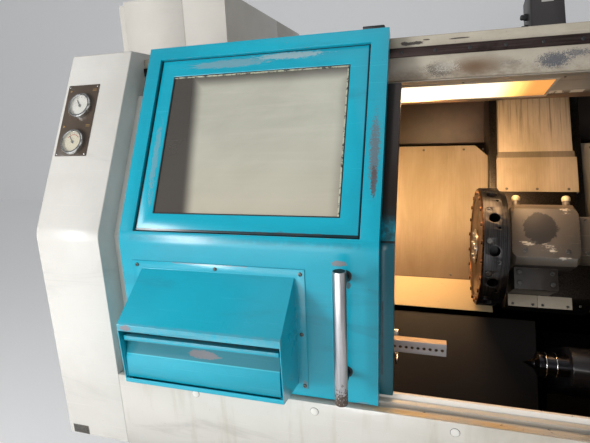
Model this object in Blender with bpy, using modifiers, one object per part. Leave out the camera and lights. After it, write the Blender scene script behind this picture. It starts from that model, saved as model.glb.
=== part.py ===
# CNC turning lathe with a slant bed, a sliding door and a twelve-station turret.
# Metres, +Z up. X runs along the spindle towards the tailstock, -Y faces the operator.
# The design frame has X = 0 at the open door's right edge, Y = 0 on the door's front face
# and Z = 0 on the floor. The empty "turning_lathe" moves it to the middle of the footprint.

import bpy
import bmesh
from math import atan2, cos, pi, radians, sin, tan
from mathutils import Matrix, Vector

# Clearances and sheet thicknesses
SEAT = 0.0003
OVERRUN = 0.010
SHEET = 0.003
THIN_SHEET = 0.002

# Front of the machine: a vertical lower part, a bend and an upper part that leans back
SILL_HEIGHT = 0.950
BEND_RISE = 0.372
UPPER_SLOPE = 0.516
LEAN = radians(26.65)
BEND_RADIUS = 0.070
BEND_STEPS = 6
PANEL_PROUD = 0.012
CLADDING_DROP = 0.220
BEND_Z = SILL_HEIGHT + BEND_RISE
CLADDING_BOTTOM = SILL_HEIGHT - CLADDING_DROP

# Stations along X
DOOR_WIDTH = 0.632
DOOR_SIDE_GAP = 0.051
COLUMN_WIDTH = 0.192
DOOR_TRAVEL = 0.600
DOOR_END_GAP = 0.006
RIGHT_COVER_WIDTH = 0.664
COVER_TOP_DROP = 0.008
COLUMN_RIGHT = -DOOR_WIDTH - DOOR_SIDE_GAP
COLUMN_LEFT = COLUMN_RIGHT - COLUMN_WIDTH
RIGHT_COVER_LEFT = DOOR_TRAVEL + DOOR_END_GAP
RIGHT_END = RIGHT_COVER_LEFT + RIGHT_COVER_WIDTH
LEFT_WALL_X = -0.115
RIGHT_WALL_X = 0.850

# Stations along Y and Z
BASE_FRONT = 0.020
BASE_BACK = 1.120
BASE_WALL = 0.030
BASE_CABINET_GAP = 0.003
FOOT_HEIGHT = 0.050
BED_SEAT_DROP = 0.500
BASE_FLOOR = 0.050
COLUMN_BACK = 0.700
COLUMN_OPENING_RISE = 0.070
REAR_WALL_INSET = 0.025
ROOF_RISE = 0.790
BED_SEAT_Z = SILL_HEIGHT - BED_SEAT_DROP
REAR_WALL_Y = BASE_BACK - REAR_WALL_INSET
ROOF_Z = SILL_HEIGHT + ROOF_RISE

# Electrical cabinet behind the left end
CABINET_OUTSET = 0.188
CABINET_WIDTH = 0.448
CABINET_DEPTH = 1.000
CABINET_TOP = 2.040
PLINTH_HEIGHT = 0.100
PLINTH_INSET = 0.020
CABINET_WALL = 0.003
LEAF_THICKNESS = 0.023
LEAF_SEAL = 0.005
LEAF_SEAL_INSET = 0.008
LEAF_MARGIN = 0.010
LEAF_GAP = 0.003
LEAF_FRAME = 0.030
SEAM_INSET = 0.278
SEAM_REACH = 0.600
SEAM_WIDTH = 0.003
SEAM_DEPTH = 0.0015
UNIT_DEPTH = 0.110
UNIT_MARGIN = 0.080
UNIT_ROW_HEIGHT = 0.220
UNIT_ROW_RISE = (0.440, 0.910, 1.380)
LATCH_SIDE = 0.030
LATCH_HEIGHT = 0.090
LATCH_PROUD = 0.012
CABINET_LEFT = COLUMN_LEFT - CABINET_OUTSET
CABINET_RIGHT = CABINET_LEFT + CABINET_WIDTH
CABINET_BACK = COLUMN_BACK + CABINET_DEPTH
SEAM_X = CABINET_LEFT + SEAM_INSET
SEAM_Y = COLUMN_BACK + SEAM_REACH
BASE_LEFT = CABINET_RIGHT + BASE_CABINET_GAP
BASE_RIGHT = RIGHT_END - BASE_FRONT

# Spindle axis and slant bed; U runs up the slant and N stands square out of it
SPINDLE_Y = 0.294
SPINDLE_DROP = 0.018
SLANT = radians(60)
BED_HEIGHT = -0.330
BED_LOW_REACH = -0.280
BED_HIGH_REACH = 0.800
BED_LEFT_GAP = 0.007
BED_RIGHT_GAP = 0.020
BED_BACK_GAP = 0.040
BED_WALL = 0.040
RAIL_HEIGHT = 0.025
RAIL_WIDTH = 0.060
TAIL_RAIL_OFFSET = (-0.200, 0.050)
SADDLE_RAIL_OFFSET = (0.290, 0.640)
SPINDLE_Z = SILL_HEIGHT - SPINDLE_DROP
BED_LEFT = BASE_LEFT + BASE_WALL + BED_LEFT_GAP
BED_RIGHT = BASE_RIGHT - BASE_WALL - BED_RIGHT_GAP
BED_BACK = BASE_BACK - BASE_WALL - BED_BACK_GAP
RAIL_TOP_HEIGHT = BED_HEIGHT + RAIL_HEIGHT

# Headstock, spindle and chuck
HEAD_WALL_GAP = 0.015
HEAD_HALF = 0.125
HEAD_HEIGHT = 0.130
HEAD_CHAMFER = 0.050
SPINDLE_RADIUS = 0.045
SPINDLE_BORE = 0.026
NOSE_RADIUS = 0.070
NOSE_LENGTH = 0.024
CHUCK_RADIUS = 0.100
CHUCK_LENGTH = 0.085
CHUCK_BORE = 0.028
JAW_WIDTH = 0.034
JAW_INNER = 0.036
JAW_OUTER = 0.090
JAW_STROKE = 0.004
JAW_DEPTH = 0.022
JAW_REACH = 0.042
CYLINDER_RADIUS = 0.080
CYLINDER_LENGTH = 0.110
NOSE_GUARD_GAP = 0.010
HEAD_LENGTH = LEFT_WALL_X - HEAD_WALL_GAP - BED_LEFT

# Turret
TURRET_OFFSET = 0.312
DISC_RADIUS = 0.169
DISC_LEFT = 0.234
DISC_THICKNESS = 0.066
DISC_FRONT_RING = 0.050
DISC_REAR_RADIUS = 0.160
DISC_CHAMFER = 0.004
STATIONS = 12
STATION_PHASE = radians(-12.5)
SOCKET_RADIUS = 0.014
SOCKET_DEPTH = 0.050
SOCKET_FROM_LEFT = 0.029
CLAMP_RADIUS = 0.0085
CLAMP_DEPTH = 0.004
CLAMP_SHIFT = 0.012
CLAMP_DROP = 0.0255
PIN_HOLE_RADIUS = 0.0045
PIN_HOLE_SHIFT = 0.011
PIN_HOLE_RISE = 0.0285
FACE_RECESS_RADIUS = 0.140
FACE_RECESS_DEPTH = 0.0015
HUB_RADIUS = 0.052
HUB_BORE = 0.022
FACE_SCREWS = 20
FACE_SCREW_RADIUS = 0.0055
FACE_SCREW_HEIGHT = 0.004
FACE_SCREW_DEPTH = 0.006
FACE_SCREW_CIRCLE = 0.1555
FACE_SCREW_SHARE = 1 / 4
NECK_RADIUS = 0.070
NECK_GAP = 0.001
HOUSING_LEFT = 0.315
HOUSING_RIGHT = 0.475
HOUSING_SPAN = (0.246, 0.414)
HOUSING_HEIGHT = 0.100
HOUSING_CHAMFER = 0.018
PEDESTAL_LOW_REACH = 0.188
PEDESTAL_HEIGHT = 0.045
PEDESTAL_INSET = 0.012
PEDESTAL_WIDTH = 0.106
INDEX_MOTOR_LENGTH = 0.105
INDEX_MOTOR_HALF = 0.052
KNOB_RADIUS = 0.009
KNOB_HEIGHT = 0.020

# Saddle and cross slide
SADDLE_LEFT = 0.300
SADDLE_RIGHT = 0.580
SADDLE_SPAN = (0.200, 1.000)
SADDLE_HEIGHT = -0.176
CROSS_RAIL_HEIGHT = 0.016
CROSS_RAIL_WIDTH = 0.040
CROSS_RAIL_OFFSET = (0.345, 0.485)
SLIDE_X = (0.325, 0.545)
SLIDE_SPAN = (0.152, 0.560)
SLIDE_THICK_SPAN = (0.186, 0.430)
SLIDE_THIN_HEIGHT = -0.1385
SLIDE_THICK_HEIGHT = -0.0603
COVER_STEP = 0.0042
COVER_SIDE_STEP = 0.004
COVER_SKIRT = 0.014
COVER_END_INSET = 0.015
LOWER_COVER_SPAN = (0.5325, 0.652)
MIDDLE_COVER_SPAN = (0.562, 0.675)
UPPER_COVER_SPAN = (0.600, SADDLE_SPAN[1] - COVER_END_INSET)
COVER_X = (0.317, 0.553)
MOTOR_SIDE = 0.115
MOTOR_LENGTH = 0.300
MOTOR_LEFT = 0.440
MOTOR_BRACKET = 0.060
MOTOR_HEIGHT = -0.145
MOTOR_BEVEL = 0.010

# Way covers that travel with the saddle, and the fixed lower guard
WAY_COVER_HEIGHT = -0.216
WAY_COVER_SPAN = (0.248, 0.738)
WAY_LIP_REACH = 0.141
WAY_LIP_HEIGHT = -0.148
WAY_COVER_LEFT = -0.330
WAY_COVER_RIGHT = 1.080
WAY_CORNER = 0.030
GUARD_HEIGHT = -0.165
GUARD_SPAN = (-0.270, 0.125)
GUARD_RIGHT = 0.420

# Tailstock
TAIL_BODY_X = (0.455, 0.640)
TAIL_FOOT_SPAN = (-0.220, 0.105)
TAIL_FOOT_RISE = 0.045
BARREL_RADIUS = 0.050
WEB_HALF = 0.050
QUILL_RADIUS = 0.027
QUILL_OUT = 0.055
QUILL_IN = 0.150
CENTRE_RADIUS = 0.0325
CENTRE_BODY = 0.023
CENTRE_TIP = 0.027
CENTRE_TIP_RADIUS = 0.014
CENTRE_SHANK = 0.009
CENTRE_SHANK_LENGTH = 0.030

# Door
DOOR_DEPTH = 0.032
SASH_MARGIN = (0.040, 0.043)
SASH_SLOPE = (0.019, 0.478)
PANE_FRAME = (0.041, 0.043)
PANE_SLOPE = (0.063, 0.432)
SASH_GAP = 0.003
SASH_RECESS = 0.006
SASH_BACK = 0.021
SASH_FLANGE = 0.004
SASH_LIP = 0.009
WINDOW_RETURN = 0.012
PANE_MARGIN = 0.008
PANE_THICKNESS = 0.006
ROLLER_RADIUS = 0.024
ROLLER_WIDTH = 0.014
ROLLER_INSET = (0.082, 0.080)
SASH_X = (SASH_MARGIN[0] - DOOR_WIDTH, -SASH_MARGIN[1])
PANE_X = (SASH_X[0] + PANE_FRAME[0], SASH_X[1] - PANE_FRAME[1])
ROLLER_OFFSET = (ROLLER_INSET[0] - DOOR_WIDTH, -ROLLER_INSET[1])
AXLE_RADIUS = 0.004
ROLLER_SLOT_MARGIN = 0.003
POST_X = (-0.009, 0.030)
POST_DEPTH = (0.0323, 0.055)
POST_TOP = 0.392
LOCK_X = (-0.062, -0.012)
LOCK_RISE = 0.026
LOCK_PLATE = 0.006
LOCK_SEAT_DEPTH = (0.004, 0.030)
LOCK_FINGER_GAP = 0.002
LOCK_FINGER_Y = (0.298, 0.308)

# Handle on the door
HANDLE_X = -0.070
HANDLE_Y = -0.070
HANDLE_Z = (0.045, 0.342)
HANDLE_RADIUS = 0.014
HANDLE_BORE = 0.012
STANDOFF_RADIUS = 0.009
STANDOFF_HEIGHT = (0.078, 0.306)

# Hood and parts drawer on the lower door
HOOD_INSET = (0.058, 0.184)
HOOD_FLANGE = (0.026, 0.024)
HOOD_FLANGE_Z = (0.020, 0.315)
HOOD_TOP_Z = 0.297
HOOD_REACH = 0.118
HOOD_LIP_Z = (0.185, 0.201)
HOOD_FRONT_LOW = (0.112, 0.052)
HOOD_BACK_LOW = 0.031
HOOD_WALL = 0.0025
HOOD_SILL = 0.011
RUNNER_WIDTH = 0.008
RUNNER_HEIGHT = 0.006
RUNNER_Y = (-0.108, -0.004)
CHUTE_INSET = 0.029
CHUTE_Z = (0.070, 0.240)
DRAWER_SIDE_GAP = 0.005
DRAWER_FRONT = 0.1095
DRAWER_STEP = 0.003
DRAWER_BACK = 0.012
DRAWER_TOP_Z = 0.170
DRAWER_RIM = 0.012
DRAWER_GRIP_DEPTH = 0.015
DRAWER_FRONT_RISE = 0.052
DRAWER_WALL = 0.002
DRAWER_FRONT_WALL = 0.020
HOOD_X = (HOOD_INSET[0] - DOOR_WIDTH, -HOOD_INSET[1])
HOOD_FLANGE_X = (HOOD_X[0] - HOOD_FLANGE[0], HOOD_X[1] + HOOD_FLANGE[1])
CHUTE_X = (HOOD_X[0] + CHUTE_INSET, HOOD_X[1] - CHUTE_INSET)

# Sill under the door
SILL_LEDGE_DROP = 0.006
SILL_DEPTH = 0.040
CHANNEL_Y = (0.008, 0.028)
CHANNEL_DROP = 0.010
LIP_Y = (0.046, 0.054)
LIP_RISE = 0.006
SILL_TAIL_Y = 0.062

# Beam over the opening, rail strip, soffit and work lamp
BEAM_Y = (0.268, 0.330)
BEAM_RISE = 0.714
BEAM_HEIGHT = 0.100
BEAM_WALL = 0.004
DOOR_RAIL_MARGIN = (0.054, 0.0245)
RAIL_THICKNESS = 0.006
SOFFIT_LIP = 0.012
SOFFIT_BACK_Y = 0.450
SOFFIT_FALL = 0.053
LAMP_X = (-0.040, 0.378)
LAMP_SPAN = (0.028, 0.152)
LAMP_PANE_MARGIN = 0.008
LAMP_PANE_THICKNESS = 0.004
TUBE_RADIUS = 0.013
TUBE_SPAN = 0.090
TUBE_RISE = 0.042
SOCKET_SIDE = 0.034
SOCKET_LENGTH = 0.030
ROOF_THICKNESS = 0.003
ROOF_NOTCH_X = 0.220
ROOF_NOTCH_Y = 0.905
BEAM_Z = (SILL_HEIGHT + BEAM_RISE, SILL_HEIGHT + BEAM_RISE + BEAM_HEIGHT)
RAIL_Z = (BEAM_Z[0] + DOOR_RAIL_MARGIN[0], BEAM_Z[1] - DOOR_RAIL_MARGIN[1])
SOFFIT_BACK_Z = BEAM_Z[0] - SOFFIT_FALL

# Fixed cover behind the door
FIXED_COVER_DEPTH = 0.046
FIXED_COVER_RIGHT = -0.010
FIXED_RETURN = 0.022

# Holed angle bar in the work area
BAR_Y = 0.200
BAR_RISE = 0.026
BAR_HEIGHT = 0.034
BAR_RIGHT = 0.152
BAR_LEG = 0.024
BAR_HOLES = 10
BAR_HOLE_RADIUS = 0.0045
BAR_PITCH = 0.0150
BAR_END_SHARE = 2 / 3
BAR_Z = (SILL_HEIGHT + BAR_RISE, SILL_HEIGHT + BAR_RISE + BAR_HEIGHT)

# Gauges on the left column
GAUGE_PLATE_INSET = 0.011
GAUGE_PLATE_WIDTH = 0.099
GAUGE_PLATE_SLOPE = (0.208, 0.414)
GAUGE_INSET = 0.066
GAUGE_SLOPE = (0.349, 0.245)
BEZEL_RADIUS = 0.034
BEZEL_HEIGHT = 0.012
BEZEL_WALL = 0.004
DIAL_DEPTH = 0.006
NEEDLE_LENGTH = 0.020
NEEDLE_TAIL = 0.006
NEEDLE_WIDTH = 0.0022
NEEDLE_THICKNESS = 0.0010
NEEDLE_HUB = 0.0032
NEEDLE_PIN = 0.0012
NEEDLE_REST = radians(35)
GAUGE_PLATE_X = (COLUMN_LEFT + GAUGE_PLATE_INSET, COLUMN_LEFT + GAUGE_PLATE_INSET + GAUGE_PLATE_WIDTH)
GAUGE_X = COLUMN_LEFT + GAUGE_INSET

# Control panel on the right cover
CONTROL_X = (0.720, 1.130)
CONTROL_SLOPE = (0.070, 0.450)
CONTROL_DEPTH = 0.030
CONTROL_BEVEL = 0.004
SCREEN_MARGIN = 0.030
SCREEN_HEIGHT = 0.185
SCREEN_RECESS = 0.005
KEY_PITCH = 0.030
KEY_SIZE = 0.020
KEY_DEPTH = 0.0015
KEY_COLUMNS = 8
KEY_ROWS = 3
STOP_RADIUS = 0.020
STOP_HEIGHT = 0.022
STOP_STEM = 0.008
STOP_SOCKET = 0.012
STOP_RISE = 0.045
STOP_INSET = 0.050

# Base details
FOOT_PAD_RADIUS = 0.060
FOOT_PAD = 0.014
FOOT_STUD = 0.014
FOOT_INSET = 0.110

AXES_YZX = (radians(90), 0, radians(90))
MID_X = (CABINET_LEFT + RIGHT_END) / 2
MID_Y = (CABINET_BACK - HOOD_REACH) / 2


def clear_scene():
    for old in list(bpy.data.objects):
        bpy.data.objects.remove(old, do_unlink=True)


def new_collection(name):
    collection = bpy.data.collections.new(name)
    bpy.context.scene.collection.children.link(collection)
    return collection


clear_scene()
PARTS = new_collection("turning_lathe")
CUTTERS = new_collection("cutters")


# Materials

def material(name, colour, roughness, metallic=0.0, alpha=1.0):
    look = bpy.data.materials.new(name)
    look.use_nodes = True
    shader = look.node_tree.nodes["Principled BSDF"]
    shader.inputs["Base Color"].default_value = (*colour, 1.0)
    shader.inputs["Roughness"].default_value = roughness
    shader.inputs["Metallic"].default_value = metallic
    shader.inputs["Alpha"].default_value = alpha
    look.diffuse_color = (*colour, alpha)
    return look


WHITE = material("off_white_paint", (0.74, 0.73, 0.68), 0.45)
CREAM = material("cream_paint", (0.66, 0.62, 0.52), 0.50)
TEAL = material("turquoise_paint", (0.02, 0.42, 0.55), 0.38)
GREY = material("grey_base_paint", (0.12, 0.12, 0.13), 0.55)
IRON = material("machined_cast_iron", (0.30, 0.29, 0.28), 0.42, 0.8)
STEEL = material("ground_steel", (0.55, 0.55, 0.56), 0.30, 1.0)
BLUED = material("blued_steel", (0.09, 0.10, 0.12), 0.35, 0.9)
BEIGE = material("coated_cover_sheet", (0.62, 0.53, 0.40), 0.35, 0.3)
DARK = material("stained_dark_sheet", (0.045, 0.035, 0.030), 0.45, 0.3)
CASTING = material("turret_grey_paint", (0.23, 0.24, 0.23), 0.50)
BLACK = material("black_plastic", (0.02, 0.02, 0.022), 0.45)
BRONZE = material("bronze_plate", (0.13, 0.09, 0.06), 0.50, 0.4)
CHROME = material("chrome_bezel", (0.75, 0.75, 0.76), 0.15, 1.0)
PANE = material("window_pane", (0.50, 0.55, 0.52), 0.10, 0.0, 0.35)
LAMP = material("lamp_tube", (1.0, 0.90, 0.70), 0.30)
RED = material("red_plastic", (0.60, 0.02, 0.02), 0.40)


# Frames and helpers

def empty(name, parent=None, at=(0, 0, 0), turn=(0, 0, 0)):
    frame = bpy.data.objects.new(name, None)
    PARTS.objects.link(frame)
    frame.parent = parent
    frame.location = at
    frame.rotation_euler = turn
    return frame


def place(name, mesh, parent, look, at=(0, 0, 0), turn=(0, 0, 0)):
    """Add a mesh as a part, or as a hidden cutter where it has no material."""
    obj = bpy.data.objects.new(name, mesh)
    (PARTS if look else CUTTERS).objects.link(obj)
    if look:
        mesh.materials.clear()
        mesh.materials.append(look)
    else:
        obj.hide_render = True
        obj.display_type = "WIRE"
    obj.parent = parent
    obj.location = at
    obj.rotation_euler = turn
    return obj


def box(name, low, high, parent, look=None):
    """A cuboid between two corners, its origin at its middle."""
    size = Vector(high) - Vector(low)
    mesh = bpy.data.meshes.new(name)
    shape = bmesh.new()
    bmesh.ops.create_cube(shape, size=1)
    bmesh.ops.scale(shape, vec=size, verts=shape.verts)
    shape.to_mesh(mesh)
    shape.free()
    return place(name, mesh, parent, look, (Vector(low) + Vector(high)) / 2)


def boxes(name, corners, parent, look=None):
    """Several separate cuboids in one mesh, each from a pair of corners."""
    mesh = bpy.data.meshes.new(name)
    shape = bmesh.new()
    for low, high in corners:
        middle = (Vector(low) + Vector(high)) / 2
        size = Vector(high) - Vector(low)
        bmesh.ops.create_cube(shape, size=1, matrix=Matrix.Translation(middle) @ Matrix.Diagonal((*size, 1)))
    shape.to_mesh(mesh)
    shape.free()
    return place(name, mesh, parent, look)


def prism(name, outline, low, high, parent, look=None, holes=()):
    """A flat outline in the parent's YZ plane, extruded along X from low to high."""
    curve = bpy.data.curves.new(name, "CURVE")
    curve.dimensions = "2D"
    curve.fill_mode = "BOTH"
    curve.extrude = (high - low) / 2
    for ring in (outline, *holes):
        spline = curve.splines.new("POLY")
        spline.points.add(len(ring) - 1)
        for point, (y, z) in zip(spline.points, ring):
            point.co = (y, z, 0, 1)
        spline.use_cyclic_u = True
    flat = bpy.data.objects.new(name + "_outline", curve)
    CUTTERS.objects.link(flat)
    bpy.context.view_layer.update()
    depsgraph = bpy.context.evaluated_depsgraph_get()
    mesh = bpy.data.meshes.new_from_object(flat.evaluated_get(depsgraph))
    bpy.data.objects.remove(flat, do_unlink=True)
    shape = bmesh.new()
    shape.from_mesh(mesh)
    bmesh.ops.remove_doubles(shape, verts=shape.verts, dist=SEAT / 30)
    bmesh.ops.recalc_face_normals(shape, faces=shape.faces)
    shape.to_mesh(mesh)
    shape.free()
    return place(name, mesh, parent, look, ((low + high) / 2, 0, 0), AXES_YZX)


def turned(name, profile, parent, look=None, steps=48, at=(0, 0, 0), turn=(0, radians(90), 0), ring=False):
    """A profile of (radius, height) points, top to bottom on its outer side, turned about Z.
    The default turn lays the axis along X, with height running towards +X."""
    mesh = bpy.data.meshes.new(name)
    links = [(i, i + 1) for i in range(len(profile) - 1)]
    if ring:
        links.append((links[-1][1], 0))
    mesh.from_pydata([(r, 0, h) for r, h in profile], links, [])
    obj = place(name, mesh, parent, look, at, turn)
    screw = obj.modifiers.new("turned", "SCREW")
    screw.axis = "Z"
    screw.steps = steps
    screw.render_steps = steps
    screw.use_merge_vertices = True
    screw.merge_threshold = SEAT / 30
    screw.use_smooth_shade = False
    return obj


def rod(name, start, end, radius, parent, look=None, steps=24):
    """A plain cylinder from one point to another."""
    along = Vector(end) - Vector(start)
    mesh = bpy.data.meshes.new(name)
    shape = bmesh.new()
    bmesh.ops.create_cone(shape, cap_ends=True, segments=steps, radius1=radius, radius2=radius,
                          depth=along.length)
    shape.to_mesh(mesh)
    shape.free()
    turn = along.to_track_quat("Z", "Y").to_euler()
    return place(name, mesh, parent, look, (Vector(start) + Vector(end)) / 2, turn)


def boolean(target, tool, operation):
    step = target.modifiers.new(tool.name, "BOOLEAN")
    step.operation = operation
    step.solver = "EXACT"
    step.object = tool


def cut(target, *tools):
    for tool in tools:
        boolean(target, tool, "DIFFERENCE")


def fuse(target, *tools):
    for tool in tools:
        boolean(target, tool, "UNION")


def soften(target, width, segments=2, angle=radians(30)):
    bevel = target.modifiers.new("soft_edges", "BEVEL")
    bevel.width = width
    bevel.segments = segments
    bevel.limit_method = "ANGLE"
    bevel.angle_limit = angle


def front_point(slope, depth):
    """A point of the machine's front in the YZ plane: slope is measured from the bend, negative
    below it, and depth inwards from the door's front face."""
    if slope <= 0:
        return (depth, BEND_Z + slope)
    return (slope * sin(LEAN) + depth * cos(LEAN), BEND_Z + slope * cos(LEAN) - depth * sin(LEAN))


def front_path(low, high, depth):
    """The front's line at one depth, with the bend as an arc."""
    start_z = BEND_Z - BEND_RADIUS * tan(LEAN / 2)
    points = [front_point(low, depth)] if BEND_Z + low < start_z else []
    if low < 0 < high:
        reach = BEND_RADIUS - depth
        for i in range(BEND_STEPS + 1):
            angle = LEAN * i / BEND_STEPS
            points.append((BEND_RADIUS - reach * cos(angle), start_z + reach * sin(angle)))
    elif not points:
        points = [front_point(low, depth)]
    return points + [front_point(high, depth)]


def front_band(low, high, outer, inner):
    return front_path(low, high, outer) + front_path(low, high, inner)[::-1]


def slope_at(z, depth):
    """Where the leaning front at one depth reaches a height."""
    return (z - BEND_Z + depth * sin(LEAN)) / cos(LEAN)


def slant_point(u, n):
    return (SPINDLE_Y + u * cos(SLANT) - n * sin(SLANT), SPINDLE_Z + u * sin(SLANT) + n * cos(SLANT))


# Frames that carry the parts

MACHINE = empty("turning_lathe", at=(-MID_X, -MID_Y, 0))
BED_FRAME = empty("bed_slant_frame", MACHINE, (0, SPINDLE_Y, SPINDLE_Z), (SLANT, 0, 0))
FRONT_SLOPE = empty("front_slope_frame", MACHINE, (0, 0, BEND_Z), (-LEAN, 0, 0))
DOOR = empty("door_slide_axis", MACHINE, (0, 0, SILL_HEIGHT))
DOOR_FRONT = empty("door_front_frame", DOOR, (0, 0, -SILL_HEIGHT))
DOOR_SLOPE = empty("door_slope_frame", DOOR, (0, 0, BEND_RISE), (-LEAN, 0, 0))
DRAWER = empty("drawer_slide_axis", DOOR, (0, 0, 0))
SPINDLE = empty("spindle_axis", BED_FRAME)
CARRIAGE = empty("carriage_slide_axis", BED_FRAME)
CROSS = empty("cross_slide_axis", CARRIAGE)
TURRET = empty("turret_axis", CROSS, (DISC_LEFT, TURRET_OFFSET, 0))
TAILSTOCK = empty("tailstock_slide_axis", BED_FRAME)
QUILL = empty("quill_slide_axis", TAILSTOCK)


# Base, feet and bed

def make_base():
    base = box("machine_base", (BASE_LEFT, BASE_FRONT, FOOT_HEIGHT),
               (BASE_RIGHT, BASE_BACK, CLADDING_BOTTOM), MACHINE, GREY)
    inner = (BASE_LEFT + BASE_WALL, BASE_RIGHT - BASE_WALL)
    upper = box("base_upper_pocket", (inner[0], BASE_FRONT + BASE_WALL, BED_SEAT_Z),
                (inner[1], BASE_BACK - BASE_WALL, CLADDING_BOTTOM + OVERRUN), MACHINE)
    lower = box("base_lower_pocket", (inner[0], BASE_FRONT + BASE_WALL, FOOT_HEIGHT - OVERRUN),
                (inner[1], BASE_BACK - BASE_WALL, BED_SEAT_Z - BASE_FLOOR), MACHINE)
    cut(base, upper, lower)
    return base


def make_feet():
    left = BASE_LEFT + FOOT_INSET
    right = BASE_RIGHT - FOOT_INSET
    places = [(x, y) for x in (left, right) for y in (BASE_FRONT, BASE_BACK)]
    corner = BASE_WALL / 2
    for number, (x, y) in enumerate(places, 1):
        inward = corner if y == BASE_FRONT else -corner
        profile = [(0, FOOT_HEIGHT - SEAT), (FOOT_STUD, FOOT_HEIGHT - SEAT), (FOOT_STUD, FOOT_PAD * 1.5),
                   (FOOT_PAD_RADIUS * 0.9, FOOT_PAD), (FOOT_PAD_RADIUS, FOOT_PAD * 0.7), (FOOT_PAD_RADIUS, 0),
                   (0, 0)]
        turned(f"levelling_foot_{number}", profile, MACHINE, IRON, 20, (x, y + inward, 0), (0, 0, 0))


def make_bed():
    """A cast wedge with hardened ways along its slanted top and cores cast through it."""
    top = [(BED_LOW_REACH, BED_HEIGHT)]
    for start in (*TAIL_RAIL_OFFSET, *SADDLE_RAIL_OFFSET):
        end = start + RAIL_WIDTH
        top += [(start, BED_HEIGHT), (start, RAIL_TOP_HEIGHT), (end, RAIL_TOP_HEIGHT), (end, BED_HEIGHT)]
    top.append((BED_HIGH_REACH, BED_HEIGHT))
    bottom = BED_SEAT_Z + SEAT
    outline = [slant_point(*p) for p in top]
    high_z = outline[-1][1]
    outline += [(BED_BACK, high_z), (BED_BACK, bottom), (outline[0][0], bottom)]
    bed = prism("slant_bed", outline, BED_LEFT, BED_RIGHT, MACHINE, IRON)
    low = slant_point(BED_LOW_REACH, BED_HEIGHT - BED_WALL)
    core = [(low[0] + BED_WALL, bottom + BED_WALL),
            slant_point(BED_HIGH_REACH - BED_WALL, BED_HEIGHT - BED_WALL),
            (BED_BACK - BED_WALL, high_z - BED_WALL), (BED_BACK - BED_WALL, bottom + BED_WALL)]
    cut(bed, prism("bed_core", core, BED_LEFT - OVERRUN, BED_RIGHT + OVERRUN, MACHINE))


# Headstock, spindle and chuck

def make_headstock():
    left = BED_LEFT
    right = left + HEAD_LENGTH
    low_n = RAIL_TOP_HEIGHT + SEAT
    outline = [(-HEAD_HALF, low_n), (HEAD_HALF, low_n), (HEAD_HALF, HEAD_HEIGHT - HEAD_CHAMFER),
               (HEAD_HALF - HEAD_CHAMFER, HEAD_HEIGHT), (HEAD_CHAMFER - HEAD_HALF, HEAD_HEIGHT),
               (-HEAD_HALF, HEAD_HEIGHT - HEAD_CHAMFER)]
    housing = prism("headstock_housing", outline, left, right, BED_FRAME, GREY)
    soften(housing, SHEET)
    bore = rod("headstock_bore", (left - OVERRUN, 0, 0), (right + OVERRUN, 0, 0), SPINDLE_RADIUS + SEAT,
               BED_FRAME, None, 48)
    cut(housing, bore)


def make_spindle():
    nose_left = LEFT_WALL_X + (SHEET - NOSE_LENGTH) / 2
    head_right = BED_LEFT + HEAD_LENGTH
    nose_left = max(nose_left, head_right + SEAT)
    nose_right = nose_left + NOSE_LENGTH
    rear = BED_LEFT - SEAT
    tail = rear - CYLINDER_LENGTH
    profile = [(SPINDLE_BORE, nose_right), (NOSE_RADIUS, nose_right), (NOSE_RADIUS, nose_left),
               (SPINDLE_RADIUS, nose_left), (SPINDLE_RADIUS, rear), (CYLINDER_RADIUS, rear),
               (CYLINDER_RADIUS, tail + CYLINDER_LENGTH / 4), (NOSE_RADIUS, tail), (SPINDLE_BORE, tail)]
    turned("spindle_shaft", profile, SPINDLE, STEEL, 48, ring=True)
    return nose_right + SEAT


def make_chuck(back):
    front = back + CHUCK_LENGTH
    edge = DISC_CHAMFER
    profile = [(CHUCK_BORE, front), (CHUCK_RADIUS - edge, front), (CHUCK_RADIUS, front - edge),
               (CHUCK_RADIUS, back + edge), (CHUCK_RADIUS - edge, back), (CHUCK_BORE, back)]
    chuck = turned("chuck_body", profile, SPINDLE, STEEL, 60, ring=True)
    for number in range(3):
        angle = 2 * pi * number / 3
        turn = (angle, 0, 0)
        slot_mesh = box(f"jaw_slot_{number + 1}",
                        (front - JAW_DEPTH - SEAT, JAW_INNER - JAW_STROKE - SEAT - OVERRUN, -JAW_WIDTH / 2 - SEAT),
                        (front + OVERRUN, CHUCK_RADIUS + OVERRUN, JAW_WIDTH / 2 + SEAT), None)
        hinge = empty(f"jaw_axis_{number + 1}", SPINDLE, turn=turn)
        slot_mesh.parent = hinge
        cut(chuck, slot_mesh)
        step = (JAW_OUTER - JAW_INNER) / 3
        jaw = box(f"chuck_jaw_{number + 1}", (front - JAW_DEPTH, JAW_INNER, -JAW_WIDTH / 2),
                  (front + JAW_REACH, JAW_OUTER, JAW_WIDTH / 2), hinge, STEEL)
        for level in (1, 2):
            notch = box(f"jaw_step_{number + 1}_{level}",
                        (front + JAW_REACH * (3 - level) / 3, JAW_INNER + step * (3 - level), -JAW_WIDTH),
                        (front + JAW_REACH + OVERRUN, JAW_OUTER + OVERRUN, JAW_WIDTH), hinge)
            cut(jaw, notch)


# Saddle, cross slide and telescopic covers

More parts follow.
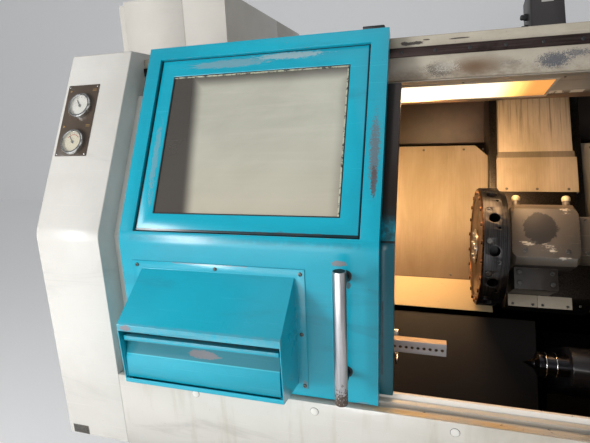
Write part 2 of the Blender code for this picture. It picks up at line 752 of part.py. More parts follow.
def make_saddle():
    low_n = RAIL_TOP_HEIGHT + SEAT
    start, end = SADDLE_SPAN
    saddle = box("saddle", (SADDLE_LEFT, start, low_n), (SADDLE_RIGHT, end, SADDLE_HEIGHT), CARRIAGE, IRON)
    rail_top = SADDLE_HEIGHT + CROSS_RAIL_HEIGHT
    for number, x in enumerate(CROSS_RAIL_OFFSET, 1):
        rail = box(f"cross_rail_{number}", (x, start + OVERRUN, SADDLE_HEIGHT - OVERRUN),
                   (x + CROSS_RAIL_WIDTH, end - OVERRUN, rail_top), CARRIAGE)
        fuse(saddle, rail)
    low = MOTOR_HEIGHT - MOTOR_SIDE
    right = MOTOR_LEFT + MOTOR_SIDE
    bracket = box("motor_bracket", (MOTOR_LEFT, end - OVERRUN, low), (right, end + MOTOR_BRACKET, MOTOR_HEIGHT),
                  CARRIAGE)
    window = box("motor_bracket_window", (MOTOR_LEFT + 2 * OVERRUN, end + OVERRUN, low - OVERRUN),
                 (right - 2 * OVERRUN, end + MOTOR_BRACKET - OVERRUN, MOTOR_HEIGHT + OVERRUN), CARRIAGE)
    fuse(saddle, bracket)
    cut(saddle, window)


def make_cross_motor():
    low = SADDLE_SPAN[1] + MOTOR_BRACKET + SEAT
    motor = box("cross_feed_motor", (MOTOR_LEFT, low, MOTOR_HEIGHT - MOTOR_SIDE),
                (MOTOR_LEFT + MOTOR_SIDE, low + MOTOR_LENGTH, MOTOR_HEIGHT), CARRIAGE, BLACK)
    soften(motor, MOTOR_BEVEL)
    middle = (MOTOR_LEFT + MOTOR_SIDE / 2, MOTOR_HEIGHT - MOTOR_SIDE / 2)
    top = low + MOTOR_LENGTH
    cap = rod("motor_encoder_cap", (middle[0], top - OVERRUN, middle[1]),
              (middle[0], top + OVERRUN, middle[1]), MOTOR_SIDE / 3, CARRIAGE, None, 24)
    fuse(motor, cap)


def telescopic_sheet(name, u_range, level, bottom_n, parent, look):
    """One folded segment of the cross cover: a flat top and two side skirts."""
    inset = level * COVER_SIDE_STEP
    top_n = SLIDE_THIN_HEIGHT + SEAT + THIN_SHEET - level * COVER_STEP
    left = COVER_X[0] + inset
    right = COVER_X[1] - inset
    sheet = box(name, (left, u_range[0], bottom_n), (right, u_range[1], top_n), parent, look)
    under = box(name + "_hollow", (left + THIN_SHEET, u_range[0] - OVERRUN, bottom_n - OVERRUN),
                (right - THIN_SHEET, u_range[1] + OVERRUN, top_n - THIN_SHEET), parent)
    cut(sheet, under)
    return sheet


def make_cross_covers():
    skirt_n = SLIDE_THIN_HEIGHT - COVER_SKIRT
    saddle_seat = SADDLE_HEIGHT + SEAT
    telescopic_sheet("cross_cover_lower", LOWER_COVER_SPAN, 0, skirt_n, CROSS, BEIGE)
    middle = empty("cross_cover_slide_axis", CARRIAGE)
    telescopic_sheet("cross_cover_middle", MIDDLE_COVER_SPAN, 1, saddle_seat, middle, BEIGE)
    telescopic_sheet("cross_cover_upper", UPPER_COVER_SPAN, 2, saddle_seat, CARRIAGE, BEIGE)


def make_cross_slide():
    low_n = SADDLE_HEIGHT + CROSS_RAIL_HEIGHT + SEAT
    lead = (SLIDE_THICK_SPAN[0] - SLIDE_SPAN[0])
    outline = [(SLIDE_SPAN[0], low_n), (SLIDE_SPAN[1], low_n), (SLIDE_SPAN[1], SLIDE_THIN_HEIGHT),
               (SLIDE_THICK_SPAN[1] + lead / 2, SLIDE_THIN_HEIGHT), (SLIDE_THICK_SPAN[1], SLIDE_THICK_HEIGHT),
               (SLIDE_THICK_SPAN[0], SLIDE_THICK_HEIGHT), (SLIDE_SPAN[0], SLIDE_THICK_HEIGHT - lead)]
    slide = prism("cross_slide", outline, SLIDE_X[0], SLIDE_X[1], CROSS, IRON)
    soften(slide, SHEET / 2, 1)


def make_turret_housing():
    (u0, u1), (n0, n1) = HOUSING_SPAN, (SLIDE_THICK_HEIGHT + SEAT, HOUSING_HEIGHT)
    c = HOUSING_CHAMFER
    outline = [(u0, n0), (u1, n0), (u1, n1 - c), (u1 - c, n1), (u0 + c, n1), (u0, n1 - c)]
    housing = prism("turret_housing", outline, HOUSING_LEFT, HOUSING_RIGHT, CROSS, CASTING)
    soften(housing, c / 2, 1, radians(60))
    pedestal = box("turret_pedestal", (HOUSING_LEFT + PEDESTAL_INSET, PEDESTAL_LOW_REACH, n0),
                   (HOUSING_LEFT + PEDESTAL_INSET + PEDESTAL_WIDTH, HOUSING_SPAN[1] - c, PEDESTAL_HEIGHT), CROSS)
    half = INDEX_MOTOR_HALF
    motor = box("index_motor_cover", (HOUSING_RIGHT - OVERRUN, TURRET_OFFSET + c - half, n0 + c),
                (HOUSING_RIGHT + INDEX_MOTOR_LENGTH, TURRET_OFFSET + c + half, n1 - c), CROSS)
    neck = rod("turret_neck", (DISC_LEFT + DISC_THICKNESS + NECK_GAP, TURRET_OFFSET, 0),
               (HOUSING_LEFT + OVERRUN, TURRET_OFFSET, 0), NECK_RADIUS, CROSS, None, 40)
    bore = rod("turret_bore", (DISC_LEFT, TURRET_OFFSET, 0), (HOUSING_LEFT + 3 * OVERRUN, TURRET_OFFSET, 0),
               HUB_BORE + SEAT, CROSS, None, 32)
    fuse(housing, pedestal, motor, neck)
    for number, x in enumerate((HOUSING_LEFT + c, HOUSING_RIGHT - c), 1):
        knob = rod(f"hose_union_{number}", (x, u1 - c, n1 - 2 * c), (x, u1 + KNOB_HEIGHT, n1 - 2 * c),
                   KNOB_RADIUS, CROSS, None, 16)
        fuse(housing, knob)
    cut(housing, bore)


def make_turret_disc():
    """The indexing disc: radial tool sockets, their wedge screws and pin holes, clamp screws on its face."""
    c = DISC_CHAMFER
    end = HOUSING_LEFT - DISC_LEFT + 2 * OVERRUN
    profile = [(0, 0), (HUB_RADIUS, 0), (HUB_RADIUS, FACE_RECESS_DEPTH),
               (FACE_RECESS_RADIUS, FACE_RECESS_DEPTH), (FACE_RECESS_RADIUS, 0), (DISC_RADIUS - c, 0),
               (DISC_RADIUS, c), (DISC_RADIUS, DISC_FRONT_RING), (DISC_REAR_RADIUS, DISC_FRONT_RING),
               (DISC_REAR_RADIUS, DISC_THICKNESS), (HUB_BORE, DISC_THICKNESS), (HUB_BORE, end), (0, end)]
    disc = turned("turret_disc", profile[::-1], TURRET, BLUED, 72)
    for number in range(STATIONS):
        station = empty(f"station_{number + 1}", TURRET, turn=(STATION_PHASE + 2 * pi * number / STATIONS, 0, 0))
        socket = rod(f"tool_socket_{number + 1}", (SOCKET_FROM_LEFT, DISC_RADIUS - SOCKET_DEPTH, 0),
                     (SOCKET_FROM_LEFT, DISC_RADIUS + OVERRUN, 0), SOCKET_RADIUS, station, None, 16)
        clamp_x = SOCKET_FROM_LEFT - CLAMP_SHIFT
        clamp = rod(f"wedge_screw_{number + 1}", (clamp_x, DISC_RADIUS - 2 * CLAMP_DEPTH, -CLAMP_DROP),
                    (clamp_x, DISC_RADIUS + OVERRUN, -CLAMP_DROP), CLAMP_RADIUS, station,
                    None, 12)
        pin = rod(f"pin_hole_{number + 1}",
                  (SOCKET_FROM_LEFT + PIN_HOLE_SHIFT, DISC_RADIUS - 3 * CLAMP_DEPTH, PIN_HOLE_RISE),
                  (SOCKET_FROM_LEFT + PIN_HOLE_SHIFT, DISC_RADIUS + OVERRUN, PIN_HOLE_RISE), PIN_HOLE_RADIUS,
                  station, None, 8)
        cut(disc, socket, clamp, pin)
    for number in range(FACE_SCREWS):
        angle = STATION_PHASE + 2 * pi * (number + FACE_SCREW_SHARE) / FACE_SCREWS
        y, z = FACE_SCREW_CIRCLE * cos(angle), FACE_SCREW_CIRCLE * sin(angle)
        screw = rod(f"face_screw_{number + 1}", (-FACE_SCREW_HEIGHT, y, z), (FACE_SCREW_DEPTH, y, z),
                    FACE_SCREW_RADIUS, TURRET, None, 8)
        fuse(disc, screw)


# Way covers and guards in the work area

def make_way_covers():
    bottom = WAY_COVER_HEIGHT - THIN_SHEET
    fold = atan2(WAY_LIP_HEIGHT - WAY_COVER_HEIGHT, WAY_COVER_SPAN[0] - WAY_LIP_REACH)
    under = (WAY_LIP_REACH - THIN_SHEET * sin(fold), WAY_LIP_HEIGHT - THIN_SHEET * cos(fold))
    outline = [(WAY_COVER_SPAN[1], WAY_COVER_HEIGHT), (WAY_COVER_SPAN[0], WAY_COVER_HEIGHT),
               (WAY_LIP_REACH, WAY_LIP_HEIGHT), under,
               (WAY_COVER_SPAN[0] - THIN_SHEET * tan(fold / 2), bottom), (WAY_COVER_SPAN[1], bottom)]
    left = prism("way_cover_left", outline, WAY_COVER_LEFT, SADDLE_LEFT - SEAT, CARRIAGE, BEIGE)
    corner = box("way_cover_corner", (-WAY_CORNER, -WAY_CORNER, -OVERRUN), (WAY_CORNER, WAY_CORNER, OVERRUN),
                 CARRIAGE)
    corner.location = (SADDLE_LEFT, WAY_COVER_SPAN[1], WAY_COVER_HEIGHT)
    corner.rotation_euler = (0, 0, radians(45))
    cut(left, corner)
    prism("way_cover_right", outline, SADDLE_RIGHT + SEAT, WAY_COVER_RIGHT, CARRIAGE, BEIGE)


def wall_outline():
    """The side walls' outline: inside the front covers, under the soffit and in front of the way covers."""
    gap = 3 * SHEET
    inside = FIXED_COVER_DEPTH + SHEET + SEAT
    top_slope = slope_at(BEAM_Z[0] - 4 * SHEET, inside)
    low = SILL_HEIGHT + LIP_RISE - BEND_Z + SHEET
    back_n = RAIL_TOP_HEIGHT + SEAT
    cover_n = WAY_COVER_HEIGHT + gap
    lip_n = WAY_LIP_HEIGHT + gap
    top_u = (ROOF_Z - SEAT - SPINDLE_Z - cover_n * cos(SLANT)) / sin(SLANT)
    under_soffit = SOFFIT_BACK_Z - SHEET
    return (front_path(low, top_slope, inside)
            + [(SOFFIT_BACK_Y + gap, under_soffit), (SOFFIT_BACK_Y + gap, ROOF_Z - SEAT),
               slant_point(top_u, cover_n), slant_point(WAY_COVER_SPAN[0], cover_n),
               slant_point(WAY_LIP_REACH, lip_n), slant_point(GUARD_SPAN[1], lip_n),
               slant_point(GUARD_SPAN[1], back_n), slant_point(GUARD_SPAN[0], back_n),
               (SILL_TAIL_Y + SHEET, CLADDING_BOTTOM + 2 * SHEET), (SILL_TAIL_Y + SHEET, SILL_HEIGHT + SHEET)])


def make_side_walls():
    left = prism("work_area_left_wall", wall_outline(), LEFT_WALL_X, LEFT_WALL_X + SHEET, MACHINE, DARK)
    hole = rod("spindle_wall_hole", (LEFT_WALL_X - OVERRUN, 0, 0), (LEFT_WALL_X + SHEET + OVERRUN, 0, 0),
               NOSE_RADIUS + NOSE_GUARD_GAP, BED_FRAME, None, 40)
    cut(left, hole)
    guard = box("lower_guard", (LEFT_WALL_X + SHEET / 3, GUARD_SPAN[0], GUARD_HEIGHT - THIN_SHEET),
                (GUARD_RIGHT, GUARD_SPAN[1], GUARD_HEIGHT), BED_FRAME)
    fuse(left, guard)
    prism("work_area_right_wall", wall_outline(), RIGHT_WALL_X, RIGHT_WALL_X + SHEET, MACHINE, DARK)


def make_angle_bar():
    left = LEFT_WALL_X + SHEET + SEAT
    z0, z1 = BAR_Z
    outline = [(BAR_Y, z0), (BAR_Y + SHEET, z0), (BAR_Y + SHEET, z1 - SHEET), (BAR_Y + BAR_LEG, z1 - SHEET),
               (BAR_Y + BAR_LEG, z1), (BAR_Y, z1)]
    bar = prism("holed_angle_bar", outline, left, BAR_RIGHT, MACHINE, STEEL)
    for number in range(BAR_HOLES):
        x = BAR_RIGHT - BAR_PITCH * (number + BAR_END_SHARE)
        z = (z0 + z1 - SHEET) / 2
        cut(bar, rod(f"bar_hole_{number + 1}", (x, BAR_Y - OVERRUN, z), (x, BAR_Y + SHEET + OVERRUN, z),
                     BAR_HOLE_RADIUS, MACHINE, None, 10))


# Tailstock

def make_tailstock():
    low_n = RAIL_TOP_HEIGHT + SEAT
    foot_top = low_n + TAIL_FOOT_RISE
    r = BARREL_RADIUS
    outline = [(TAIL_FOOT_SPAN[0], low_n), (TAIL_FOOT_SPAN[1], low_n), (TAIL_FOOT_SPAN[1], foot_top),
               (WEB_HALF, foot_top + TAIL_FOOT_RISE), (WEB_HALF, 0)]
    steps = 12
    outline += [(r * cos(pi * i / steps), r * sin(pi * i / steps)) for i in range(1, steps)]
    outline += [(-WEB_HALF, 0), (-WEB_HALF * 1.6, foot_top + TAIL_FOOT_RISE), (TAIL_FOOT_SPAN[0], foot_top)]
    body = prism("tailstock_body", outline, TAIL_BODY_X[0], TAIL_BODY_X[1], TAILSTOCK, CASTING)
    soften(body, SHEET, 1)
    bore = rod("quill_bore", (TAIL_BODY_X[0] - OVERRUN, 0, 0), (TAIL_BODY_X[0] + QUILL_IN + OVERRUN, 0, 0),
               QUILL_RADIUS + SEAT, TAILSTOCK, None, 32)
    cut(body, bore)
    start = TAIL_BODY_X[0] - QUILL_OUT
    end = TAIL_BODY_X[0] + QUILL_IN
    bore_r = CENTRE_SHANK + SEAT
    profile = [(0, end), (QUILL_RADIUS, end), (QUILL_RADIUS, start), (bore_r, start),
               (bore_r, start + CENTRE_SHANK_LENGTH + SHEET), (0, start + CENTRE_SHANK_LENGTH + SHEET)]
    turned("tailstock_quill", profile, QUILL, STEEL, 32)
    face = start - SEAT
    centre = [(0, face + CENTRE_SHANK_LENGTH), (CENTRE_SHANK, face + CENTRE_SHANK_LENGTH), (CENTRE_SHANK, face),
              (CENTRE_RADIUS, face), (CENTRE_RADIUS, face - CENTRE_BODY * 2 / 3),
              (CENTRE_TIP_RADIUS, face - CENTRE_BODY),
              (0, face - CENTRE_BODY - CENTRE_TIP)]
    live = empty("live_centre_axis", QUILL)
    turned("live_centre", centre, live, STEEL, 32)


# White covers, apron, sill and fixed cover behind the door

def make_end_cover(name, left, right, back, opening_side):
    """A folded sheet cover with the machine's front line; one side opens towards the middle."""
    proud = -PANEL_PROUD
    low = CLADDING_BOTTOM + SEAT - BEND_Z
    high = UPPER_SLOPE - COVER_TOP_DROP
    top = front_point(high, proud)
    outline = front_path(low, high, proud) + [(back, top[1]), (back, BEND_Z + low)]
    cover = prism(name, outline, left, right, MACHINE, WHITE)
    inner_top = front_point(high - SHEET, proud + SHEET)
    inner = front_path(low + SHEET, high - SHEET, proud + SHEET)
    inner += [(back - SHEET, inner_top[1]), (back - SHEET, BEND_Z + low + SHEET)]
    cut(cover, prism(name + "_hollow", inner, left + SHEET, right - SHEET, MACHINE))
    rim = 2 * OVERRUN
    right_wall = (right - SHEET - OVERRUN, right + OVERRUN)
    left_wall = (left - OVERRUN, left + SHEET + OVERRUN)
    side_x = right_wall if opening_side > 0 else left_wall
    return cover, rim, side_x


def make_covers():
    column, rim, side_x = make_end_cover("left_column", COLUMN_LEFT, COLUMN_RIGHT, COLUMN_BACK - SEAT, 1)
    low_z = CLADDING_BOTTOM + COLUMN_OPENING_RISE
    opening = [(BASE_FRONT + 5 * rim, low_z), (COLUMN_BACK - 3 * rim, low_z),
               (COLUMN_BACK - 3 * rim, BEAM_Z[0] - 3 * rim), (BASE_FRONT + 10 * rim, BEAM_Z[0] - 3 * rim)]
    cut(column, prism("column_side_opening", opening, side_x[0], side_x[1], MACHINE))
    right, rim, side_x = make_end_cover("right_end_cover", RIGHT_COVER_LEFT, RIGHT_END, REAR_WALL_Y - SEAT, -1)
    depth = POST_DEPTH[0] - 5 * SHEET
    low_z = SILL_HEIGHT - SILL_DEPTH
    mid_z = BEAM_Z[0] - SHEET
    high_z = ROOF_Z - SHEET
    passage = front_path(low_z - BEND_Z, slope_at(mid_z, depth), depth)
    passage += [(SOFFIT_BACK_Y + rim, mid_z), (SOFFIT_BACK_Y + rim, high_z), (REAR_WALL_Y - rim, high_z),
                (REAR_WALL_Y - rim, low_z)]
    cut(right, prism("right_cover_opening", passage, side_x[0], side_x[1], MACHINE))
    near = BASE_FRONT + BASE_WALL
    foot = box("right_cover_floor_opening", (RIGHT_COVER_LEFT + SHEET, near, CLADDING_BOTTOM - OVERRUN),
               (BASE_RIGHT - BASE_WALL, REAR_WALL_Y - rim, CLADDING_BOTTOM + SHEET + OVERRUN), MACHINE)
    side_foot = box("right_cover_low_opening", (RIGHT_COVER_LEFT - OVERRUN, near, CLADDING_BOTTOM - OVERRUN),
                    (RIGHT_COVER_LEFT + 2 * SHEET, REAR_WALL_Y - rim, SILL_HEIGHT), MACHINE)
    cut(right, foot, side_foot)


def make_apron():
    front = -PANEL_PROUD
    low = CLADDING_BOTTOM + SEAT
    top = SILL_HEIGHT - SILL_LEDGE_DROP - SEAT
    outline = [(front, low), (BASE_FRONT + BASE_WALL, low), (BASE_FRONT + BASE_WALL, low + SHEET),
               (front + SHEET, low + SHEET), (front + SHEET, top), (front, top)]
    prism("front_apron", outline, COLUMN_RIGHT + SEAT, RIGHT_COVER_LEFT - SEAT, MACHINE, WHITE)


def make_sill():
    front = SHEET + SEAT - PANEL_PROUD
    ledge = SILL_HEIGHT - SILL_LEDGE_DROP
    floor = ledge - CHANNEL_DROP
    bottom = SILL_HEIGHT - SILL_DEPTH
    outline = [(front, bottom), (SILL_TAIL_Y, bottom), (LIP_Y[1], SILL_HEIGHT + LIP_RISE),
               (LIP_Y[0], SILL_HEIGHT + LIP_RISE), (LIP_Y[0], ledge), (CHANNEL_Y[1], ledge),
               (CHANNEL_Y[1], floor), (CHANNEL_Y[0], floor), (CHANNEL_Y[0], ledge), (front, ledge)]
    prism("door_sill", outline, COLUMN_RIGHT + SEAT, RIGHT_COVER_LEFT - SEAT, MACHINE, CREAM)


def make_fixed_cover():
    """The sheet that closes the headstock compartment behind the parked door."""
    outer = FIXED_COVER_DEPTH
    low = SILL_HEIGHT + LIP_RISE + SEAT - BEND_Z
    top_z = BEAM_Z[0] - SEAT
    outline = front_path(low, slope_at(top_z, outer), outer)
    outline += [(BEAM_Y[1], top_z), (BEAM_Y[1], top_z - SHEET)]
    outline += front_path(low, slope_at(top_z - SHEET, outer + SHEET), outer + SHEET)[::-1]
    cover = prism("headstock_cover", outline, COLUMN_RIGHT + SEAT, FIXED_COVER_RIGHT, MACHINE, WHITE)
    deep = outer + FIXED_RETURN
    edge = front_band(low + SHEET, slope_at(top_z - 2 * SHEET, deep), outer + SHEET / 2, deep)
    fuse(cover, prism("cover_return", edge, FIXED_COVER_RIGHT - SHEET, FIXED_COVER_RIGHT - SEAT, MACHINE))
    cut(cover, box("cover_soffit_notch", (LEFT_WALL_X - SHEET, BEAM_Y[0], top_z - OVERRUN),
                   (FIXED_COVER_RIGHT + OVERRUN, BEAM_Y[1] + OVERRUN, top_z + OVERRUN), MACHINE))


# Beam, rail, soffit, lamp, roof and rear wall

def make_beam():
    left = COLUMN_RIGHT + SEAT
    right = RIGHT_COVER_LEFT - SEAT
    (y0, y1), (z0, z1) = BEAM_Y, BEAM_Z
    outer = [(y0, z0), (y1, z0), (y1, z1), (y0, z1)]
    w = BEAM_WALL
    inner = [(y0 + w, z0 + w), (y0 + w, z1 - w), (y1 - w, z1 - w), (y1 - w, z0 + w)]
    prism("top_beam", outer, left, right, MACHINE, CREAM, holes=(inner,))
    back = y0 - SEAT
    box("door_rail", (left, back - RAIL_THICKNESS, RAIL_Z[0]), (right, back, RAIL_Z[1]), MACHINE, IRON)


def make_soffit():
    """The sloping ceiling panel, its lamp window, the pane over it and the tube between its sockets."""
    left = LEFT_WALL_X + SHEET + SEAT
    right = RIGHT_COVER_LEFT - SEAT
    top = BEAM_Z[0] - SEAT
    lip_y = BEAM_Y[0] + SHEET
    fold_y = lip_y + SOFFIT_LIP
    fold_z = top - SHEET
    fall = atan2(fold_z - SOFFIT_BACK_Z, SOFFIT_BACK_Y - fold_y)
    rise = SHEET / cos(fall)
    outline = [(lip_y, fold_z), (fold_y, fold_z), (SOFFIT_BACK_Y, SOFFIT_BACK_Z),
               (SOFFIT_BACK_Y, ROOF_Z - SEAT), (SOFFIT_BACK_Y - SHEET, ROOF_Z - SEAT),
               (SOFFIT_BACK_Y - SHEET, SOFFIT_BACK_Z + rise),
               (fold_y, top), (lip_y, top)]
    panel = prism("lamp_soffit", outline, left, right, MACHINE, CREAM)
    slope = empty("soffit_slope_frame", MACHINE, (0, fold_y, fold_z), (-fall, 0, 0))
    window = box("lamp_window", (LAMP_X[0], LAMP_SPAN[0], -OVERRUN), (LAMP_X[1], LAMP_SPAN[1], OVERRUN),
                 slope)
    cut(panel, window)
    m = LAMP_PANE_MARGIN
    seat = SHEET + SEAT
    box("work_lamp_pane", (LAMP_X[0] - m, LAMP_SPAN[0] - m / 2, seat),
        (LAMP_X[1] + m, LAMP_SPAN[1] + m, seat + LAMP_PANE_THICKNESS), slope, PANE)
    near = LAMP_X[0] - m - SHEET
    far = LAMP_X[1] + m + SHEET
    half = SOCKET_SIDE / 2
    for number, (x0, x1) in enumerate(((near - SOCKET_LENGTH, near), (far, far + SOCKET_LENGTH)), 1):
        fuse(panel, box(f"lamp_socket_{number}", (x0, TUBE_SPAN - half, SHEET / 2),
                        (x1, TUBE_SPAN + half, TUBE_RISE + half), slope))
    rod("work_lamp_tube", (near + SEAT, TUBE_SPAN, TUBE_RISE), (far - SEAT, TUBE_SPAN, TUBE_RISE),
        TUBE_RADIUS, slope, LAMP)


def make_roof():
    left = CABINET_RIGHT + SEAT
    right = RIGHT_COVER_LEFT - SEAT
    front = BEAM_Y[1] + SEAT
    roof = box("roof_panel", (COLUMN_RIGHT + SEAT, front, ROOF_Z),
               (right, REAR_WALL_Y - SEAT, ROOF_Z + ROOF_THICKNESS), MACHINE, WHITE)
    high = ROOF_Z + ROOF_THICKNESS + OVERRUN
    corner = box("roof_cabinet_notch", (COLUMN_LEFT, COLUMN_BACK - SEAT, ROOF_Z - OVERRUN),
                 (left, REAR_WALL_Y + OVERRUN, high), MACHINE)
    slot = box("roof_motor_notch", (ROOF_NOTCH_X, ROOF_NOTCH_Y, ROOF_Z - OVERRUN),
               (right + OVERRUN, REAR_WALL_Y + OVERRUN, high), MACHINE)
    cut(roof, corner, slot)
    wall = box("rear_wall", (left, REAR_WALL_Y, CLADDING_BOTTOM + SEAT), (right, REAR_WALL_Y + SHEET, ROOF_Z),
               MACHINE, WHITE)
    return wall


def make_cabinet():
    """Switch cabinet with two leaves on its outer side and drive units on a plate inside."""
    x0 = CABINET_LEFT + LEAF_THICKNESS + LEAF_SEAL + SEAT
    body = box("cabinet_body", (x0, COLUMN_BACK, PLINTH_HEIGHT), (CABINET_RIGHT, CABINET_BACK, CABINET_TOP),
               MACHINE, WHITE)
    w = CABINET_WALL
    inset = PLINTH_INSET
    plinth = box("cabinet_plinth", (x0 + inset, COLUMN_BACK + inset, 0),
                 (CABINET_RIGHT - inset, CABINET_BACK - inset, PLINTH_HEIGHT + w / 2), MACHINE)
    well = box("plinth_hollow", (x0 + inset + w, COLUMN_BACK + inset + w, w),
               (CABINET_RIGHT - inset - w, CABINET_BACK - inset - w, PLINTH_HEIGHT + 2 * w), MACHINE)
    hollow = box("cabinet_hollow", (x0 + w, COLUMN_BACK + w, PLINTH_HEIGHT + w),
                 (CABINET_RIGHT - w, CABINET_BACK - w, CABINET_TOP - w), MACHINE)
    fuse(body, plinth)
    cut(body, hollow, well)
    middle = (COLUMN_BACK + CABINET_BACK) / 2
    f = LEAF_FRAME
    low = PLINTH_HEIGHT + f
    high = CABINET_TOP - f
    leaves = ((COLUMN_BACK + f, middle - f / 2), (middle + f / 2, CABINET_BACK - f))
    for number, (y0, y1) in enumerate(leaves, 1):
        cut(body, box(f"cabinet_opening_{number}", (x0 - OVERRUN, y0, low), (x0 + w + OVERRUN, y1, high),
                      MACHINE))
    front, back = COLUMN_BACK + UNIT_MARGIN, CABINET_BACK - UNIT_MARGIN
    units = [((CABINET_RIGHT - w - UNIT_DEPTH, front, PLINTH_HEIGHT + rise - UNIT_ROW_HEIGHT / 2),
              (CABINET_RIGHT - w / 2, back, PLINTH_HEIGHT + rise + UNIT_ROW_HEIGHT / 2))
             for rise in UNIT_ROW_RISE]
    fuse(body, boxes("drive_units", units, MACHINE))
    seam = SEAM_WIDTH / 2
    seams = [((SEAM_X - seam, COLUMN_BACK - OVERRUN, PLINTH_HEIGHT - OVERRUN),
              (SEAM_X + seam, COLUMN_BACK + SEAM_DEPTH, CABINET_TOP + OVERRUN)),
             ((CABINET_RIGHT - SEAM_DEPTH, SEAM_Y - seam, PLINTH_HEIGHT - OVERRUN),
              (CABINET_RIGHT + OVERRUN, SEAM_Y + seam, CABINET_TOP + OVERRUN))]
    cut(body, boxes("cabinet_seams", seams, MACHINE))
    z0 = PLINTH_HEIGHT + LEAF_MARGIN
    z1 = CABINET_TOP - LEAF_MARGIN
    reach = middle - LEAF_GAP / 2 - COLUMN_BACK - LEAF_MARGIN
    for name, y, side in (("front", COLUMN_BACK + LEAF_MARGIN, 1), ("rear", CABINET_BACK - LEAF_MARGIN, -1)):
        hinge = empty(f"cabinet_{name}_hinge", MACHINE, (CABINET_LEFT, y, 0))
        ends = sorted((0, side * reach))
        leaf = box(f"cabinet_{name}_door", (0, ends[0], z0), (LEAF_THICKNESS, ends[1], z1), hinge, WHITE)
        inset = LEAF_SEAL_INSET
        seal = box(f"leaf_{name}_seal", (w, ends[0] + inset, z0 + inset),
                   (LEAF_THICKNESS + LEAF_SEAL, ends[1] - inset, z1 - inset), hinge)
        inset += w
        pan = box(f"leaf_{name}_hollow", (w, ends[0] + inset, z0 + inset),
                  (LEAF_THICKNESS + LEAF_SEAL + OVERRUN, ends[1] - inset, z1 - inset), hinge)
        fuse(leaf, seal)
        cut(leaf, pan)
        lock_y = side * (reach - LEAF_MARGIN - LATCH_SIDE / 2)
        z = (z0 + z1) / 2
        recess = box(f"latch_{name}", (-OVERRUN, lock_y - LATCH_SIDE / 2, z - LATCH_HEIGHT / 2),
                     (w / 3, lock_y + LATCH_SIDE / 2, z + LATCH_HEIGHT / 2), hinge)
        cut(leaf, recess)


# The door and what it carries

def make_door_shell():
    outer = front_band(-BEND_RISE, UPPER_SLOPE, 0, DOOR_DEPTH)
    shell = prism("door_shell", outer, -DOOR_WIDTH, 0, DOOR_FRONT, TEAL)
    hollow = front_band(SHEET - BEND_RISE, UPPER_SLOPE - SHEET, SHEET, DOOR_DEPTH + OVERRUN)
    cut(shell, prism("door_hollow", hollow, SHEET - DOOR_WIDTH, -SHEET, DOOR_FRONT))
    window = box("door_window_opening", (SASH_X[0] - SASH_GAP, -OVERRUN, SASH_SLOPE[0] - SASH_GAP),
                 (SASH_X[1] + SASH_GAP, WINDOW_RETURN + OVERRUN, SASH_SLOPE[1] + SASH_GAP), DOOR_SLOPE)
    chute = box("door_chute_opening", (CHUTE_X[0], -OVERRUN, CHUTE_Z[0]),
                (CHUTE_X[1], SHEET + OVERRUN, CHUTE_Z[1]), DOOR)
    edge = SASH_GAP + SHEET
    window_return = box("door_window_return", (SASH_X[0] - edge, SHEET / 2, SASH_SLOPE[0] - edge),
                        (SASH_X[1] + edge, WINDOW_RETURN, SASH_SLOPE[1] + edge), DOOR_SLOPE)
    fuse(shell, window_return)
    cut(shell, window, chute)
    ledge = SILL_LEDGE_DROP + CHANNEL_DROP
    axle_z = ROLLER_RADIUS + SEAT - ledge
    middle = (CHANNEL_Y[0] + CHANNEL_Y[1]) / 2
    for number, x in enumerate(ROLLER_OFFSET, 1):
        slot = ROLLER_RADIUS + ROLLER_SLOT_MARGIN
        gap = ROLLER_WIDTH / 2 + ROLLER_SLOT_MARGIN
        cut(shell, box(f"roller_slot_{number}", (x - slot, middle - gap, -OVERRUN),
                       (x + slot, middle + gap, 2 * SHEET), DOOR))
        fuse(shell, rod(f"roller_axle_{number}", (x, SHEET / 2, axle_z), (x, middle + ROLLER_WIDTH, axle_z),
                        AXLE_RADIUS, DOOR, None, 16))
        axis = empty(f"roller_axis_{number}", DOOR, (x, middle, axle_z))
        half = ROLLER_WIDTH / 2
        edge = half / 4
        bore = AXLE_RADIUS + SEAT
        profile = [(bore, half), (ROLLER_RADIUS - edge, half), (ROLLER_RADIUS, half - edge),
                   (ROLLER_RADIUS, edge - half), (ROLLER_RADIUS - edge, -half), (bore, -half)]
        turned(f"door_roller_{number}", profile, axis, STEEL, 24, turn=(radians(90), 0, 0), ring=True)


def sash_block(name, grow, near, far, look=None):
    """A block behind the door's window opening, larger than the sash by grow on each edge."""
    return box(name, (SASH_X[0] - grow, near, SASH_SLOPE[0] - grow),
               (SASH_X[1] + grow, far, SASH_SLOPE[1] + grow), DOOR_SLOPE, look)


def make_sash():
    """The sash stands back in the window opening and is held by its flange behind the opening's return."""
    sash = sash_block("window_sash", 0, SASH_RECESS, SASH_BACK, TEAL)
    seat = WINDOW_RETURN + SEAT
    fuse(sash, sash_block("sash_flange", SASH_GAP + SASH_FLANGE, seat, seat + THIN_SHEET))
    m = PANE_MARGIN
    light = box("sash_light", (PANE_X[0], -OVERRUN, PANE_SLOPE[0]),
                (PANE_X[1], SASH_BACK + OVERRUN, PANE_SLOPE[1]), DOOR_SLOPE)
    rebate = box("sash_rebate", (PANE_X[0] - m - SEAT, SASH_LIP, PANE_SLOPE[0] - m - SEAT),
                 (PANE_X[1] + m + SEAT, SASH_BACK + OVERRUN, PANE_SLOPE[1] + m + SEAT), DOOR_SLOPE)
    cut(sash, light, rebate)
    box("window_pane", (PANE_X[0] - m, SASH_LIP + SEAT, PANE_SLOPE[0] - m),
        (PANE_X[1] + m, SASH_LIP + SEAT + PANE_THICKNESS, PANE_SLOPE[1] + m), DOOR_SLOPE, PANE)


